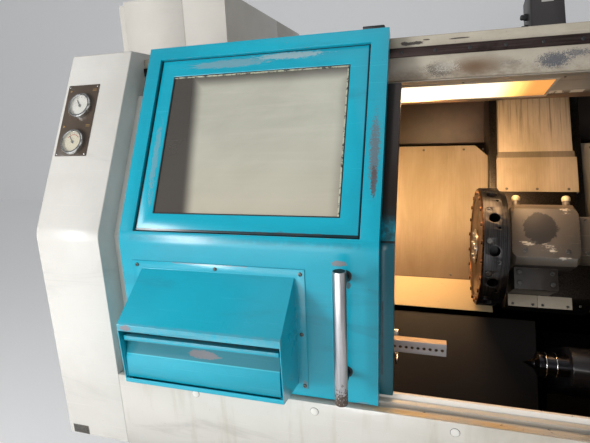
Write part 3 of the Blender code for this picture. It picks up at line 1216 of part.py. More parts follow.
def make_door_post():
    low = LIP_RISE + THIN_SHEET - BEND_RISE
    post = front_band(low, POST_TOP, POST_DEPTH[0], POST_DEPTH[1])
    prism("door_end_post", post, POST_X[0], POST_X[1], DOOR_FRONT, TEAL)


def make_lock_bracket():
    """The black bracket on the door's top that hooks over the beam."""
    near = front_point(UPPER_SLOPE + SEAT, LOCK_SEAT_DEPTH[0])
    far = front_point(UPPER_SLOPE + SEAT, LOCK_SEAT_DEPTH[1])
    top = BEAM_Z[1] + LOCK_RISE
    under = top - LOCK_PLATE
    tip = BEAM_Z[1] + LOCK_FINGER_GAP
    y0, y1 = LOCK_FINGER_Y
    outline = [near, far, (far[0], under), (y0, under), (y0, tip), (y1, tip), (y1, top), (near[0], top)]
    prism("door_lock_bracket", outline, LOCK_X[0], LOCK_X[1], DOOR_FRONT, BLACK)


def make_handle():
    z0, z1 = HANDLE_Z
    profile = [(HANDLE_BORE, z1), (HANDLE_RADIUS, z1), (HANDLE_RADIUS, z0), (HANDLE_BORE, z0)]
    handle = turned("door_handle", profile, DOOR, STEEL, 28, (HANDLE_X, HANDLE_Y, 0), (0, 0, 0), ring=True)
    for number, z in enumerate(STANDOFF_HEIGHT, 1):
        fuse(handle, rod(f"handle_standoff_{number}", (HANDLE_X, HANDLE_Y + HANDLE_BORE + SHEET / 3, z),
                         (HANDLE_X, -SEAT, z), STANDOFF_RADIUS, DOOR, None, 16))


def hood_outline(wall):
    """The hood's side outline, or its hollow for a wall thickness."""
    back = -SEAT
    reach = HOOD_REACH - wall
    low_y, low_z = HOOD_FRONT_LOW
    return [(back, HOOD_TOP_Z - wall * 1.3), (-reach, HOOD_LIP_Z[1] - wall), (-reach, HOOD_LIP_Z[0]),
            (wall - low_y, low_z + wall), (back, HOOD_BACK_LOW + wall)]


def make_hood():
    x0, x1 = HOOD_X
    hood = prism("parts_hood", hood_outline(0), x0, x1, DOOR, TEAL)
    flange = box("hood_flange", (HOOD_FLANGE_X[0], -SEAT - THIN_SHEET, HOOD_FLANGE_Z[0]),
                 (HOOD_FLANGE_X[1], -SEAT, HOOD_FLANGE_Z[1]), DOOR)
    fuse(hood, flange)
    w = HOOD_WALL
    hollow = hood_outline(w)
    hollow[0] = (OVERRUN, HOOD_TOP_Z)
    hollow[-1] = (OVERRUN, HOOD_BACK_LOW + w)
    cut(hood, prism("hood_hollow", hollow, x0 + w, x1 - w, DOOR))
    low_y, low_z = HOOD_FRONT_LOW
    mouth = [(-HOOD_REACH - OVERRUN, HOOD_LIP_Z[0]), (w * 2 - low_y, HOOD_LIP_Z[0]),
             (w * 2 - low_y, low_z + HOOD_SILL), (-HOOD_REACH - OVERRUN, low_z + HOOD_SILL)]
    cut(hood, prism("hood_mouth", mouth, x0 + w, x1 - w, DOOR))
    top = low_z + HOOD_SILL
    for number, x in enumerate((x0 + w / 2, x1 - w / 2 - RUNNER_WIDTH), 1):
        fuse(hood, box(f"drawer_runner_{number}", (x, RUNNER_Y[0], top - RUNNER_HEIGHT),
                       (x + RUNNER_WIDTH, RUNNER_Y[1], top), DOOR))


def make_drawer():
    x0 = HOOD_X[0] + HOOD_WALL + DRAWER_SIDE_GAP
    x1 = HOOD_X[1] - HOOD_WALL - DRAWER_SIDE_GAP
    front = -DRAWER_FRONT
    z0, z1 = HOOD_FRONT_LOW[1] + HOOD_SILL + SEAT, DRAWER_TOP_Z
    grip = front + DRAWER_GRIP_DEPTH
    step = DRAWER_STEP
    outline = [(front, z0 + step), (front + 2 * step, z0 + step), (front + 2 * step, z0), (-DRAWER_BACK, z0),
               (-DRAWER_BACK, z1 - DRAWER_RIM), (grip, z1 - DRAWER_RIM), (grip, z1),
               (front, z1), (front, z1 - DRAWER_RIM), (grip - DRAWER_WALL, z1 - DRAWER_RIM - DRAWER_WALL),
               (front, z0 + DRAWER_FRONT_RISE)]
    drawer = prism("parts_drawer", outline, x0, x1, DRAWER, TEAL)
    hollow = box("drawer_hollow", (x0 + DRAWER_WALL, front + DRAWER_FRONT_WALL + SHEET, z0 + DRAWER_WALL),
                 (x1 - DRAWER_WALL, -DRAWER_BACK - DRAWER_WALL, z1 + OVERRUN), DRAWER)
    cut(drawer, hollow)


# Gauges and control panel

def make_gauges():
    face = -PANEL_PROUD - SEAT
    box("gauge_plate", (GAUGE_PLATE_X[0], face - THIN_SHEET, GAUGE_PLATE_SLOPE[0]),
        (GAUGE_PLATE_X[1], face, GAUGE_PLATE_SLOPE[1]), FRONT_SLOPE, BRONZE)
    seat = face - THIN_SHEET - SEAT
    for name, slope in zip(("upper", "lower"), GAUGE_SLOPE):
        axis = empty(f"{name}_needle_axis", FRONT_SLOPE, (GAUGE_X, seat, slope), (radians(90), 0, 0))
        floor = BEZEL_HEIGHT - DIAL_DEPTH
        rim = BEZEL_RADIUS - BEZEL_WALL
        profile = [(0, floor), (rim, floor), (rim, BEZEL_HEIGHT - BEZEL_WALL / 3),
                   (rim + BEZEL_WALL / 3, BEZEL_HEIGHT),
                   (BEZEL_RADIUS - BEZEL_WALL / 3, BEZEL_HEIGHT), (BEZEL_RADIUS, BEZEL_HEIGHT - BEZEL_WALL / 2),
                   (BEZEL_RADIUS, 0), (0, 0)]
        turned(f"{name}_gauge", profile, axis, CHROME, 40, turn=(0, 0, 0))
        low = floor + SEAT
        needle = rod(f"{name}_gauge_needle", (0, 0, low), (0, 0, low + 2 * NEEDLE_THICKNESS), NEEDLE_HUB,
                     axis, BLACK, 16)
        swing = empty(f"{name}_needle_swing", axis, turn=(0, 0, NEEDLE_REST))
        pointer = box(f"{name}_pointer", (-NEEDLE_WIDTH / 2, -NEEDLE_TAIL, low + NEEDLE_THICKNESS / 2),
                      (NEEDLE_WIDTH / 2, NEEDLE_LENGTH, low + NEEDLE_THICKNESS * 3 / 2), swing)
        fuse(needle, pointer)


def make_control_panel():
    face = -PANEL_PROUD - SEAT
    top = face - CONTROL_DEPTH
    (x0, x1), (s0, s1) = CONTROL_X, CONTROL_SLOPE
    panel = box("control_panel", (x0, top, s0), (x1, face, s1), FRONT_SLOPE, CREAM)
    soften(panel, CONTROL_BEVEL)
    m = SCREEN_MARGIN
    pockets = [((x0 + m, top - OVERRUN, s1 - m - SCREEN_HEIGHT), (x1 - m, top + SCREEN_RECESS, s1 - m))]
    for row in range(KEY_ROWS):
        for column in range(KEY_COLUMNS):
            x = x0 + m + column * KEY_PITCH
            s = s0 + m + row * KEY_PITCH
            pockets.append(((x, top - OVERRUN, s), (x + KEY_SIZE, top + KEY_DEPTH, s + KEY_SIZE)))
    cut(panel, boxes("panel_pockets", pockets, FRONT_SLOPE))
    x = x1 - STOP_INSET
    s = s0 + STOP_RISE
    axis = empty("emergency_stop_axis", FRONT_SLOPE, (x, top, s), (radians(90), 0, 0))
    hole = rod("emergency_stop_hole", (0, 0, -STOP_SOCKET), (0, 0, OVERRUN), STOP_STEM + SEAT, axis, None, 24)
    cut(panel, hole)
    h = STOP_HEIGHT
    r = STOP_RADIUS
    profile = [(0, h), (r * 0.7, h), (r, h * 0.8), (r, h * 0.55), (STOP_STEM, h * 0.45), (STOP_STEM, -h / 4),
               (0, -h / 4)]
    turned("emergency_stop", profile, axis, RED, 28, turn=(0, 0, 0))


def build():
    make_base()
    make_feet()
    make_bed()
    make_headstock()
    make_chuck(make_spindle())
    make_saddle()
    make_cross_motor()
    make_cross_covers()
    make_cross_slide()
    make_turret_housing()
    make_turret_disc()
    make_way_covers()
    make_side_walls()
    make_angle_bar()
    make_tailstock()
    make_covers()
    make_apron()
    make_sill()
    make_fixed_cover()
    make_beam()
    make_soffit()
    make_roof()
    make_cabinet()
    make_door_shell()
    make_sash()
    make_door_post()
    make_lock_bracket()
    make_handle()
    make_hood()
    make_drawer()
    make_gauges()
    make_control_panel()


build()
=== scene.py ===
# Looks for the CNC turning lathe: finishes for every CAD piece, small fittings, lamp light and camera.
# Lengths are metres and colours are display colours. Most places are given in the door's own frame, whose origin is
# the lower right front corner of the open door; at() moves them to the row frame.

from math import atan2, cos, pi, radians, sin

import bmesh
import bpy
from mathutils import Matrix, Vector


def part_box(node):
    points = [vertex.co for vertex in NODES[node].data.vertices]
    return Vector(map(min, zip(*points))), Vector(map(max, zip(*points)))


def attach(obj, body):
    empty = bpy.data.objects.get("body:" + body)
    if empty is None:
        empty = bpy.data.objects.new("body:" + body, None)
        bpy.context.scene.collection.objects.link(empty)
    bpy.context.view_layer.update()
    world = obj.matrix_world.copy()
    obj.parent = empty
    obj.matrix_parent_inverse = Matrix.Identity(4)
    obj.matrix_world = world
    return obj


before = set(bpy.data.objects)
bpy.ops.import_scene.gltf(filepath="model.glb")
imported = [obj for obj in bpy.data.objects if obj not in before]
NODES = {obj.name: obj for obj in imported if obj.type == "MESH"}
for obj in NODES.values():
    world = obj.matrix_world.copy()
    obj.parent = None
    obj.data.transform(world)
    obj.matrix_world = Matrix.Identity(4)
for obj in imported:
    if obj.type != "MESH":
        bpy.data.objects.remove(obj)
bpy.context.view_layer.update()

# Places taken from the frame
DOOR_LOW, DOOR_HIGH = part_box("door_shell")
CORNER = Vector((DOOR_HIGH.x, DOOR_LOW.y, DOOR_LOW.z))
SPINDLE_LOW, SPINDLE_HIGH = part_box("spindle_shaft")
SPINDLE_AXIS = (SPINDLE_LOW + SPINDLE_HIGH) / 2
FACE_SCREW_HEIGHT = 0.004
DISC_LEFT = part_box("turret_disc")[0].x + FACE_SCREW_HEIGHT
PANE_LOW, PANE_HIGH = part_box("work_lamp_pane")

# Planes of the machine
BEND_RISE = 0.372
LEAN = radians(26.65)
SLANT = radians(60)
APRON_Y = -0.012
BEAM_Y = 0.268
RIGHT_END_X = 1.270
GAUGE_X = -0.809
GAUGE_RISES = (0.349, 0.245)
GAUGE_DEPTH = -0.0146
PLATE_DEPTH = -0.0143
PANEL_DEPTH = -0.0423
DISC_X, TURRET_U = 0.234, 0.312
HOUSING_N = 0.100
COVER_N = -0.216
COVER_TOP_U, COVER_LOW_U = 0.722, 0.262
FOLD_U = 0.2470
END_PLATE_N = -0.0588


# Places and directions

def turn(degrees, axis):
    return Matrix.Rotation(radians(degrees), 4, axis)


def at(x, y, z):
    """A point of the door's own frame in the row frame."""
    return CORNER + Vector((x, y, z))


def place(x, y, z, degrees=0, axis="X"):
    """A placing in the door's own frame, turned about one axis."""
    return Matrix.Translation(at(x, y, z)) @ turn(degrees, axis)


def front_plane(x, z, y=0.0):
    """A plane on the machine's vertical front: local X right, Y up, Z out of the face."""
    return place(x, y, z, 90)


def slope_plane(x, s, depth=0.0):
    """A plane on the leaning front, s above the bend and depth inwards from the door's face."""
    bend = Matrix.Translation(at(0, 0, BEND_RISE)) @ Matrix.Rotation(-LEAN, 4, "X")
    return bend @ Matrix.Translation((x, depth, s)) @ turn(90, "X")


def slant_plane(x, u, n):
    """A plane on the slanted bed: local X right, Y up the slant, Z out of it."""
    axis = Matrix.Translation((CORNER.x, SPINDLE_AXIS.y, SPINDLE_AXIS.z)) @ Matrix.Rotation(SLANT, 4, "X")
    return axis @ Matrix.Translation((x, u, n))


def slant_rise(u):
    """How far up the slant a place lies in the row frame."""
    point = slant_plane(0, u, 0).translation
    return point.y * cos(SLANT) + point.z * sin(SLANT)


# Materials

def srgb(text):
    """A display colour such as "2FA9BE" as linear red, green and blue."""
    values = [int(text[i:i + 2], 16) / 255 for i in (0, 2, 4)]
    return tuple(v / 12.92 if v <= 0.04045 else ((v + 0.055) / 1.055) ** 2.4 for v in values)


def tinted(text, share, lift=0.0):
    """A display colour made darker or lighter."""
    return tuple(min(1, c * share + lift) for c in srgb(text))


class Look:
    """A node material under construction, with the few building blocks that the finishes share."""

    SOCKETS = {"colour": "Base Color", "rough": "Roughness", "metal": "Metallic", "coat": "Coat Weight",
               "coat_rough": "Coat Roughness", "sheen": "Specular IOR Level", "alpha": "Alpha",
               "glow": "Emission Color", "glow_power": "Emission Strength"}

    def __init__(self, name, tone=None):
        self.material = bpy.data.materials.new(name)
        self.material.use_nodes = True
        self.tree = self.material.node_tree
        self.shader = self.tree.nodes["Principled BSDF"]
        self.place = self.node("TexCoord").outputs["Object"]
        self.tone = tone

    def link(self, value, socket):
        """Links another node's output to a socket, or sets the socket's own value."""
        if isinstance(value, str):
            value = srgb(value)
        if isinstance(value, bpy.types.NodeSocket):
            self.tree.links.new(value, socket)
        elif isinstance(value, tuple) and len(value) == 3 and socket.type == "RGBA":
            socket.default_value = (*value, 1)
        else:
            socket.default_value = value

    def node(self, kind, inputs=None, **settings):
        """A shader node with its settings, and its inputs by name or number."""
        made = self.tree.nodes.new("ShaderNode" + kind)
        for key, value in settings.items():
            setattr(made, key, value)
        for key, value in (inputs or {}).items():
            self.link(value, made.inputs[key])
        return made

    def mapped(self, kind, **values):
        """Object space through a Mapping node."""
        return self.node("Mapping", {"Vector": self.place, **values}, vector_type=kind).outputs[0]

    def stretched(self, scale, spin=(0, 0, 0), offset=(0, 0, 0)):
        """Object space, scaled, turned and moved."""
        return self.mapped("POINT", Scale=scale, Rotation=spin, Location=offset)

    def slanted(self, scale=(1, 1, 1)):
        """Object space along X, up the slant and out of it, each scaled."""
        return self.mapped("TEXTURE", Rotation=(SLANT, 0, 0), Scale=tuple(1 / s for s in scale))

    def split(self, vector, name):
        return self.node("SeparateXYZ", {0: vector}).outputs[name]

    def axis(self, name):
        return self.split(self.place, name)

    def facing(self, name):
        """One component of the surface's own normal."""
        return self.split(self.node("NewGeometry").outputs["Normal"], name)

    def inward(self, name):
        """1 on the faces that look down, to the front or to the left, against the named axis."""
        return self.step(self.facing(name), -0.6, -0.5, 1.0, 0.0)

    def noise(self, scale, detail=4.0, rough=0.55, vector=None, distortion=0.0):
        return self.node("TexNoise", {"Vector": vector or self.place, "Scale": scale, "Detail": detail,
                                      "Roughness": rough, "Distortion": distortion}).outputs["Fac"]

    def step(self, value, low, high, out_low=0.0, out_high=1.0):
        """A smooth step of value between low and high."""
        inputs = {"Value": value, "From Min": low, "From Max": high, "To Min": out_low, "To Max": out_high}
        return self.node("MapRange", inputs, interpolation_type="SMOOTHSTEP").outputs["Result"]

    def math(self, kind, a, b, clamp=False):
        return self.node("Math", {0: a, 1: b}, operation=kind, use_clamp=clamp).outputs[0]

    def plus(self, a, b, clamp=False):
        return self.math("ADD", a, b, clamp)

    def times(self, a, b):
        return self.math("MULTIPLY", a, b)

    def less(self, a, b):
        return self.math("SUBTRACT", a, b)

    def most(self, a, b):
        return self.math("MAXIMUM", a, b)

    def mix(self, share, a, b):
        return self.node("Mix", {0: share, 6: a, 7: b}, data_type="RGBA").outputs[2]

    def over(self, mask, colour, strength=1.0):
        """Lays a colour over the tone where the mask is 1."""
        if strength != 1.0:
            mask = self.times(mask, strength)
        self.tone = self.mix(mask, self.tone, colour)

    def span(self, value, low, high, soft):
        """1 between low and high, falling to 0 over soft outside."""
        return self.times(self.step(value, low - soft, low), self.step(value, high, high + soft, 1.0, 0.0))

    def along(self, name, low, high, out_low=0.0, out_high=1.0):
        """A smooth step along an axis, between two places of the door's frame."""
        start = CORNER["XYZ".index(name)]
        return self.step(self.axis(name), start + low, start + high, out_low, out_high)

    def within(self, name, low, high, soft):
        """1 between two places of the door's frame, falling to 0 over soft outside."""
        start = CORNER["XYZ".index(name)]
        return self.span(self.axis(name), start + low, start + high, soft)

    def patch(self, box, soft, raggedness):
        """A soft-edged box of the door's frame, broken up by noise."""
        mask = 1.0
        for name, (low, high) in zip("XYZ", box):
            mask = self.times(mask, self.within(name, low, high, soft))
        if raggedness:
            mask = self.times(mask, self.step(self.noise(75.0, 5), 0.5 - raggedness, 0.5 + raggedness * 0.4))
        return mask

    def distance(self, centre, reach):
        """The distance from a point of the row frame, as a share of the reach along each axis."""
        moved = self.mapped("TEXTURE", Location=tuple(centre), Scale=reach)
        return self.node("VectorMath", {0: moved}, operation="LENGTH").outputs["Value"]

    def smudge(self, centre, reach):
        """A soft round spot at a place of the door's frame."""
        return self.step(self.distance(at(*centre), reach), 0.0, 1.0, 1.0, 0.0)

    def spray(self, centre, reach, scale, fill, stretch=(1, 1, 1)):
        """A rubbed spot: dense at its centre, breaking into specks towards its rim."""
        near = self.step(self.distance(centre, reach), 0.1, 1.0, 1.0, 0.0)
        grain = self.noise(scale, 6, 0.75, self.stretched(stretch))
        value = self.plus(self.times(near, fill), grain)
        return self.times(self.step(value, 0.66, 0.74), self.step(near, 0.0, 0.12))

    def rub(self, spots):
        """Sprays over the tone; a spot is its centre in the door's frame, reach, grain, fill, strength, colour and
        stretch."""
        for centre, reach, scale, fill, strength, colour, stretch in spots:
            self.over(self.spray(at(*centre), reach, scale, fill, stretch), colour, strength)

    def edges(self, radius):
        """Where the surface turns a corner within radius."""
        rounded = self.node("Bevel", {"Radius": radius}, samples=6).outputs[0]
        flat = self.node("NewGeometry").outputs["Normal"]
        dot = self.node("VectorMath", {0: rounded, 1: flat}, operation="DOT_PRODUCT").outputs["Value"]
        return self.step(self.less(1.0, dot), 0.02, 0.20)

    def bump(self, height, distance, strength):
        made = self.node("Bump", {"Height": height, "Distance": distance, "Strength": strength})
        self.link(made.outputs[0], self.shader.inputs["Normal"])

    def done(self, **values):
        """The material, with the tone as its colour and the other values on the shader's sockets."""
        for key, value in {"colour": self.tone, **values}.items():
            self.link(value, self.shader.inputs[self.SOCKETS[key]])
        return self.material


def enamel(name, colour, shadow, worn, rough=0.38, wear=0.5, grime=0.4, edge=0.0025, seed=0.0):
    """Sprayed machine enamel: slight orange peel, clouded tone, rubbed streaks, grime and bare worn edges."""
    look = Look(name, colour)
    clouds = look.noise(2.2, 6, 0.6, look.stretched((1, 1, 1), (0, 0, 0), (seed, seed * 0.7, -seed)))
    look.over(look.step(clouds, 0.35, 0.72, 0.0, 0.8), shadow)
    smears = look.noise(7.0, 7, 0.65, look.stretched((0.35, 1, 2.2)), 0.6)
    smears = look.times(look.step(smears, 0.56, 0.74), grime)
    look.over(smears, tinted(shadow, 0.45, 0.02))
    specks = look.step(look.noise(190.0, 3, 0.6), 0.69, 0.74)
    look.over(specks, tinted(shadow, 0.3), grime)
    scratches = look.noise(38.0, 3, 0.5, look.stretched((0.12, 1, 7.0), (0, radians(8), 0)), 1.4)
    look.over(look.step(scratches, 0.665, 0.70), tinted(colour, 1.25, 0.08), 0.35 * wear)
    chips = look.step(look.noise(70.0, 6, 0.7), 0.60 - 0.14 * wear, 0.66 - 0.10 * wear)
    bare = look.times(look.edges(edge), chips)
    look.over(bare, worn)
    roughness = look.plus(look.times(clouds, 0.18), rough - 0.09)
    roughness = look.plus(roughness, look.times(smears, 0.15), clamp=True)
    peel = look.noise(520.0, 2, 0.5)
    look.bump(look.less(look.times(peel, 0.25), bare), 0.0004, 0.5)
    look.done(rough=roughness, coat=0.12)
    return look


def metal(name, colour, dark, rough=0.3, brush=(1, 60, 60), stain=0.4, edge=0.0, lift=0.05):
    """Ground or brushed metal with fine lines, oil staining and rubbed edges."""
    look = Look(name, dark)
    lines = look.noise(9.0, 5, 0.7, look.stretched(brush))
    look.over(look.step(lines, 0.3, 0.7), colour)
    stained = look.times(look.step(look.noise(6.0, 6, 0.65, None, 0.8), 0.50, 0.72), stain)
    look.over(stained, tinted(dark, 0.35))
    if edge:
        look.over(look.edges(edge), tinted(colour, 1.5, lift))
    roughness = look.plus(look.times(lines, 0.16), rough - 0.08)
    roughness = look.plus(roughness, look.times(stained, 0.25), clamp=True)
    look.bump(lines, 0.0002, 0.35)
    look.done(rough=roughness, metal=1.0)
    return look


def plain(name, colour, rough=0.4, metal_share=0.0, grain=300.0, spread=0.25):
    """Moulded plastic, rubber or a small painted fitting, with a fine grain and a slightly uneven tone."""
    look = Look(name, colour)
    clouds = look.noise(14.0, 5, 0.6)
    look.over(look.step(clouds, 0.3, 0.75), tinted(colour, 1 - spread))
    look.bump(look.noise(grain, 3), 0.0003, 0.3)
    return look.done(rough=look.plus(look.times(clouds, 0.2), rough - 0.1), metal=metal_share)


TEAL = "0FA6BE"
TEAL_SHADE = "0B93AA"
PRIMER = "9A8B85"
DARK_STEEL = "332B28"
OFF_WHITE = "D6D3CC"
OFF_WHITE_SHADE = "C2BFB7"
TAN_WEAR = "8A8074"
RUBBED = "7F9AA2"
GREY_PINK = "8E7C78"
BARE_DARK = "4A403E"
# Near-black teal, painted along the sash's edges as the shadow lines of the gaps round it.
PAINTED_GAP_SHADOW = "06181C"
DEEP_TEAL = "0A1A1F"
INK = "4B4E57"
SOOT = "2E2622"
EVEN = (1, 1, 1)
ALONG = (0.3, 1, 1)
UPRIGHT = (1, 1, 0.3)
SMEARED = (0.4, 1, 1)
SASH_LOW = BEND_RISE + 0.019 * cos(LEAN)
SASH_TOP = BEND_RISE + 0.478 * cos(LEAN)
PANE_TOP = BEND_RISE + 0.432 * cos(LEAN)
ALL_Y = (-1, 1)
SASH_X = (-0.60, -0.04)
POST_X = (-0.02, 0.04)
POST_Y = (0.0, 0.6)
DRAWER_X = (-0.57, -0.19)
DRAWER_Y = (-0.2, 0.2)


def door_enamel(name, seed, patches=(), spots=()):
    """Turquoise enamel rubbed to a pinkish primer; a patch is its box, softness, strength, raggedness and colour,
    and some patches are painted shade and painted highlights.
    """
    look = enamel(name, TEAL, TEAL_SHADE, PRIMER, 0.30, 0.7, 0.30, 0.0020, seed)
    for box, soft, strength, ragged, colour in patches:
        look.over(look.patch(box, soft, ragged), colour, strength)
    look.rub(spots)
    return look.done(coat=0.45, coat_rough=0.20, sheen=0.3)


DOOR_LOOK = door_enamel("turquoise_door", 0.0, (
    ((SASH_X, (0.0, 0.012), (0.368, 0.376)), 0.004, 0.15, 0.20, DARK_STEEL),
), (
    ((-0.019, 0.11, 0.56), (0.022, 0.2, 0.15), 340, 0.32, 0.75, "6E5C5A", EVEN),
    ((-0.017, 0.09, 0.50), (0.012, 0.2, 0.06), 240, 0.40, 0.80, "5B4644", EVEN),
    ((-0.084, 0.0, 0.333), (0.026, 0.05, 0.011), 120, 0.45, 0.80, GREY_PINK, EVEN),
    ((-0.064, 0.0, 0.285), (0.009, 0.05, 0.013), 120, 0.42, 0.80, "554744", EVEN),
    ((-0.035, 0.0, 0.002), (0.035, 0.05, 0.005), 120, 0.30, 0.50, GREY_PINK, ALONG),
    ((-0.590, 0.0, 0.004), (0.030, 0.05, 0.006), 120, 0.30, 0.50, GREY_PINK, ALONG),
    ((-0.30, 0.26, 0.816), (0.30, 0.06, 0.006), 120, 0.24, 0.60, RUBBED, ALONG),
))
# In the sash's patches, the four dark strips along its edges are painted shadow lines of the gap between sash and
# door.
SASH_LOOK = door_enamel("turquoise_sash", 3.1, (
    (((-0.60, -0.5885), ALL_Y, (0.2, 1.0)), 0.0008, 0.97, 0.0, PAINTED_GAP_SHADOW),
    ((SASH_X, ALL_Y, (SASH_LOW - 0.01, SASH_LOW + 0.0026)), 0.0006, 0.95, 0.0, PAINTED_GAP_SHADOW),
    ((SASH_X, ALL_Y, (SASH_TOP - 0.0016, SASH_TOP + 0.01)), 0.0006, 0.90, 0.0, PAINTED_GAP_SHADOW),
    (((-0.0452, -0.04), ALL_Y, (0.2, 1.0)), 0.0006, 0.85, 0.0, PAINTED_GAP_SHADOW),
), (
    ((-0.40, 0.211, 0.7785), (0.17, 0.1, 0.017), 200, 0.42, 0.65, RUBBED, ALONG),
    ((-0.235, 0.215, 0.7870), (0.15, 0.1, 0.014), 240, 0.38, 0.65, "A9B4B4", ALONG),
    ((-0.568, 0.1, 0.55), (0.016, 0.2, 0.18), 160, 0.34, 0.55, RUBBED, UPRIGHT),
    ((-0.562, 0.1, 0.47), (0.012, 0.2, 0.07), 160, 0.28, 0.40, RUBBED, UPRIGHT),
    ((-0.19, 0.01, 0.391), (0.16, 0.1, 0.005), 120, 0.30, 0.45, BARE_DARK, ALONG),
))
# The darker teal over the post's lower part is painted shade.
POST_LOOK = door_enamel("turquoise_post", 5.3, (
    ((POST_X, POST_Y, (0.43, 1.0)), 0.025, 1.0, 0.0, "2C1F19"),
    ((POST_X, POST_Y, (0.372, 0.376)), 0.001, 1.0, 0.0, DEEP_TEAL),
    ((POST_X, POST_Y, (0.38, 0.43)), 0.020, 0.8, 0.35, "242F30"),
    ((POST_X, POST_Y, (-0.1, 0.37)), 0.004, 0.75, 0.0, "082F38"),
    (((0.004, 0.007), POST_Y, (0.06, 0.24)), 0.001, 0.8, 0.4, DEEP_TEAL),
))
HOOD_LOOK = door_enamel("turquoise_hood", 7.7, (
    (((-0.59, -0.17), (-0.13, -0.112), (0.182, 0.203)), 0.003, 0.30, 0.25, RUBBED),
), (
    ((-0.38, 0.0, 0.314), (0.24, 0.05, 0.005), 120, 0.26, 0.45, GREY_PINK, ALONG),
    ((-0.168, 0.0, 0.032), (0.012, 0.05, 0.018), 120, 0.36, 0.55, GREY_PINK, EVEN),
    ((-0.552, -0.12, 0.194), (0.022, 0.05, 0.012), 160, 0.42, 0.75, "8A6E70", EVEN),
    ((-0.40, -0.12, 0.184), (0.20, 0.05, 0.004), 160, 0.26, 0.55, GREY_PINK, ALONG),
))
# The dark teal band across the drawer is painted shade, and the thin light line below it is a painted highlight on
# its edge.
DRAWER_LOOK = door_enamel("turquoise_drawer", 9.4, (
    ((DRAWER_X, DRAWER_Y, (0.126, 0.160)), 0.0012, 0.72, 0.0, "2A6670"),
    ((DRAWER_X, DRAWER_Y, (0.1235, 0.1250)), 0.0008, 0.45, 0.0, "5FD0DF"),
    (((-0.56, -0.20), (-0.12, -0.09), (0.165, 0.172)), 0.002, 0.30, 0.25, RUBBED),
), (
    ((-0.367, -0.10, 0.141), (0.070, 0.06, 0.014), 90, 0.42, 0.65, "94807F", ALONG),
))


def two_sided_sheet(name, overlay, seed):
    """Off-white sheet, and the brown that its inward faces carry: oil together with painted shade of the enclosure.
    """
    look = enamel(name, OFF_WHITE, OFF_WHITE_SHADE, TAN_WEAR, 0.40, 0.40, 0.20, 0.0020, seed)
    return look, look.mix(look.step(look.noise(8.0, 6, 0.65), 0.3, 0.7), overlay, tinted(overlay, 0.5))


def inner_oil_and_shade_look(name, axis, seed):
    """Off-white sheet, brown on the faces turned against one axis: oil and painted shade together."""
    look, brown = two_sided_sheet(name, "4A3021", seed)
    look.over(look.inward(axis), brown)
    return look.done(coat=0.0)


def cover_right_look():
    """The right cover: white outside, brown on its inward faces and on its side next to the opening, oil and painted
    shade together.
    """
    look, brown = two_sided_sheet("right_cover_sheet", "3A2A20", 3.5)
    low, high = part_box("right_end_cover")
    far = 0.0
    for number, (name, start, end) in enumerate((("X", 0.10, 0.05), ("Y", 0.3, 0.2), ("Z", 0.10, 0.05))):
        beside = look.step(look.axis(name), high[number] - start, high[number] - end)
        far = look.most(far, look.times(look.inward(name), beside))
    look.over(far, brown)
    inside = look.span(look.axis("X"), low.x + 0.0035, high.x - 0.0035, 0.0005)
    deep = look.span(look.axis("Y"), CORNER.y + 0.04, high.y - 0.004, 0.0005)
    look.over(look.times(inside, look.times(deep, look.step(look.facing("Y"), -0.3, 0.3))), brown)
    return look.done()


def casting_look():
    """The turret's painted casting: chipped pale corners, a dark rubbed round spot, white scuffs, a dark foot."""
    look = enamel("turret_casting", "564F47", "3F3932", "B3A794", 0.45, 1.0, 0.7, 0.0040, 6.0)
    spot = slant_plane(0.383, 0.343, HOUSING_N).translation
    look.over(look.spray(spot, (0.056, 0.056, 0.056), 70, 0.95), "1D1A18", 0.92)
    for x, u, reach in ((0.405, 0.288, (0.045, 0.02, 0.02)), (0.352, 0.300, (0.030, 0.016, 0.016)),
                        (0.445, 0.395, (0.03, 0.02, 0.02)), (0.430, 0.262, (0.045, 0.01, 0.01))):
        scuff = look.spray(slant_plane(x, u, HOUSING_N).translation, reach, 110, 0.20, (0.35, 1, 1))
        look.over(scuff, "C9C0B0", 0.75)
    foot = slant_rise(FOLD_U)
    look.over(look.step(look.split(look.slanted(), "Y"), foot - 0.001, foot, 0.85, 0.0), "1E1917")
    return look.done()


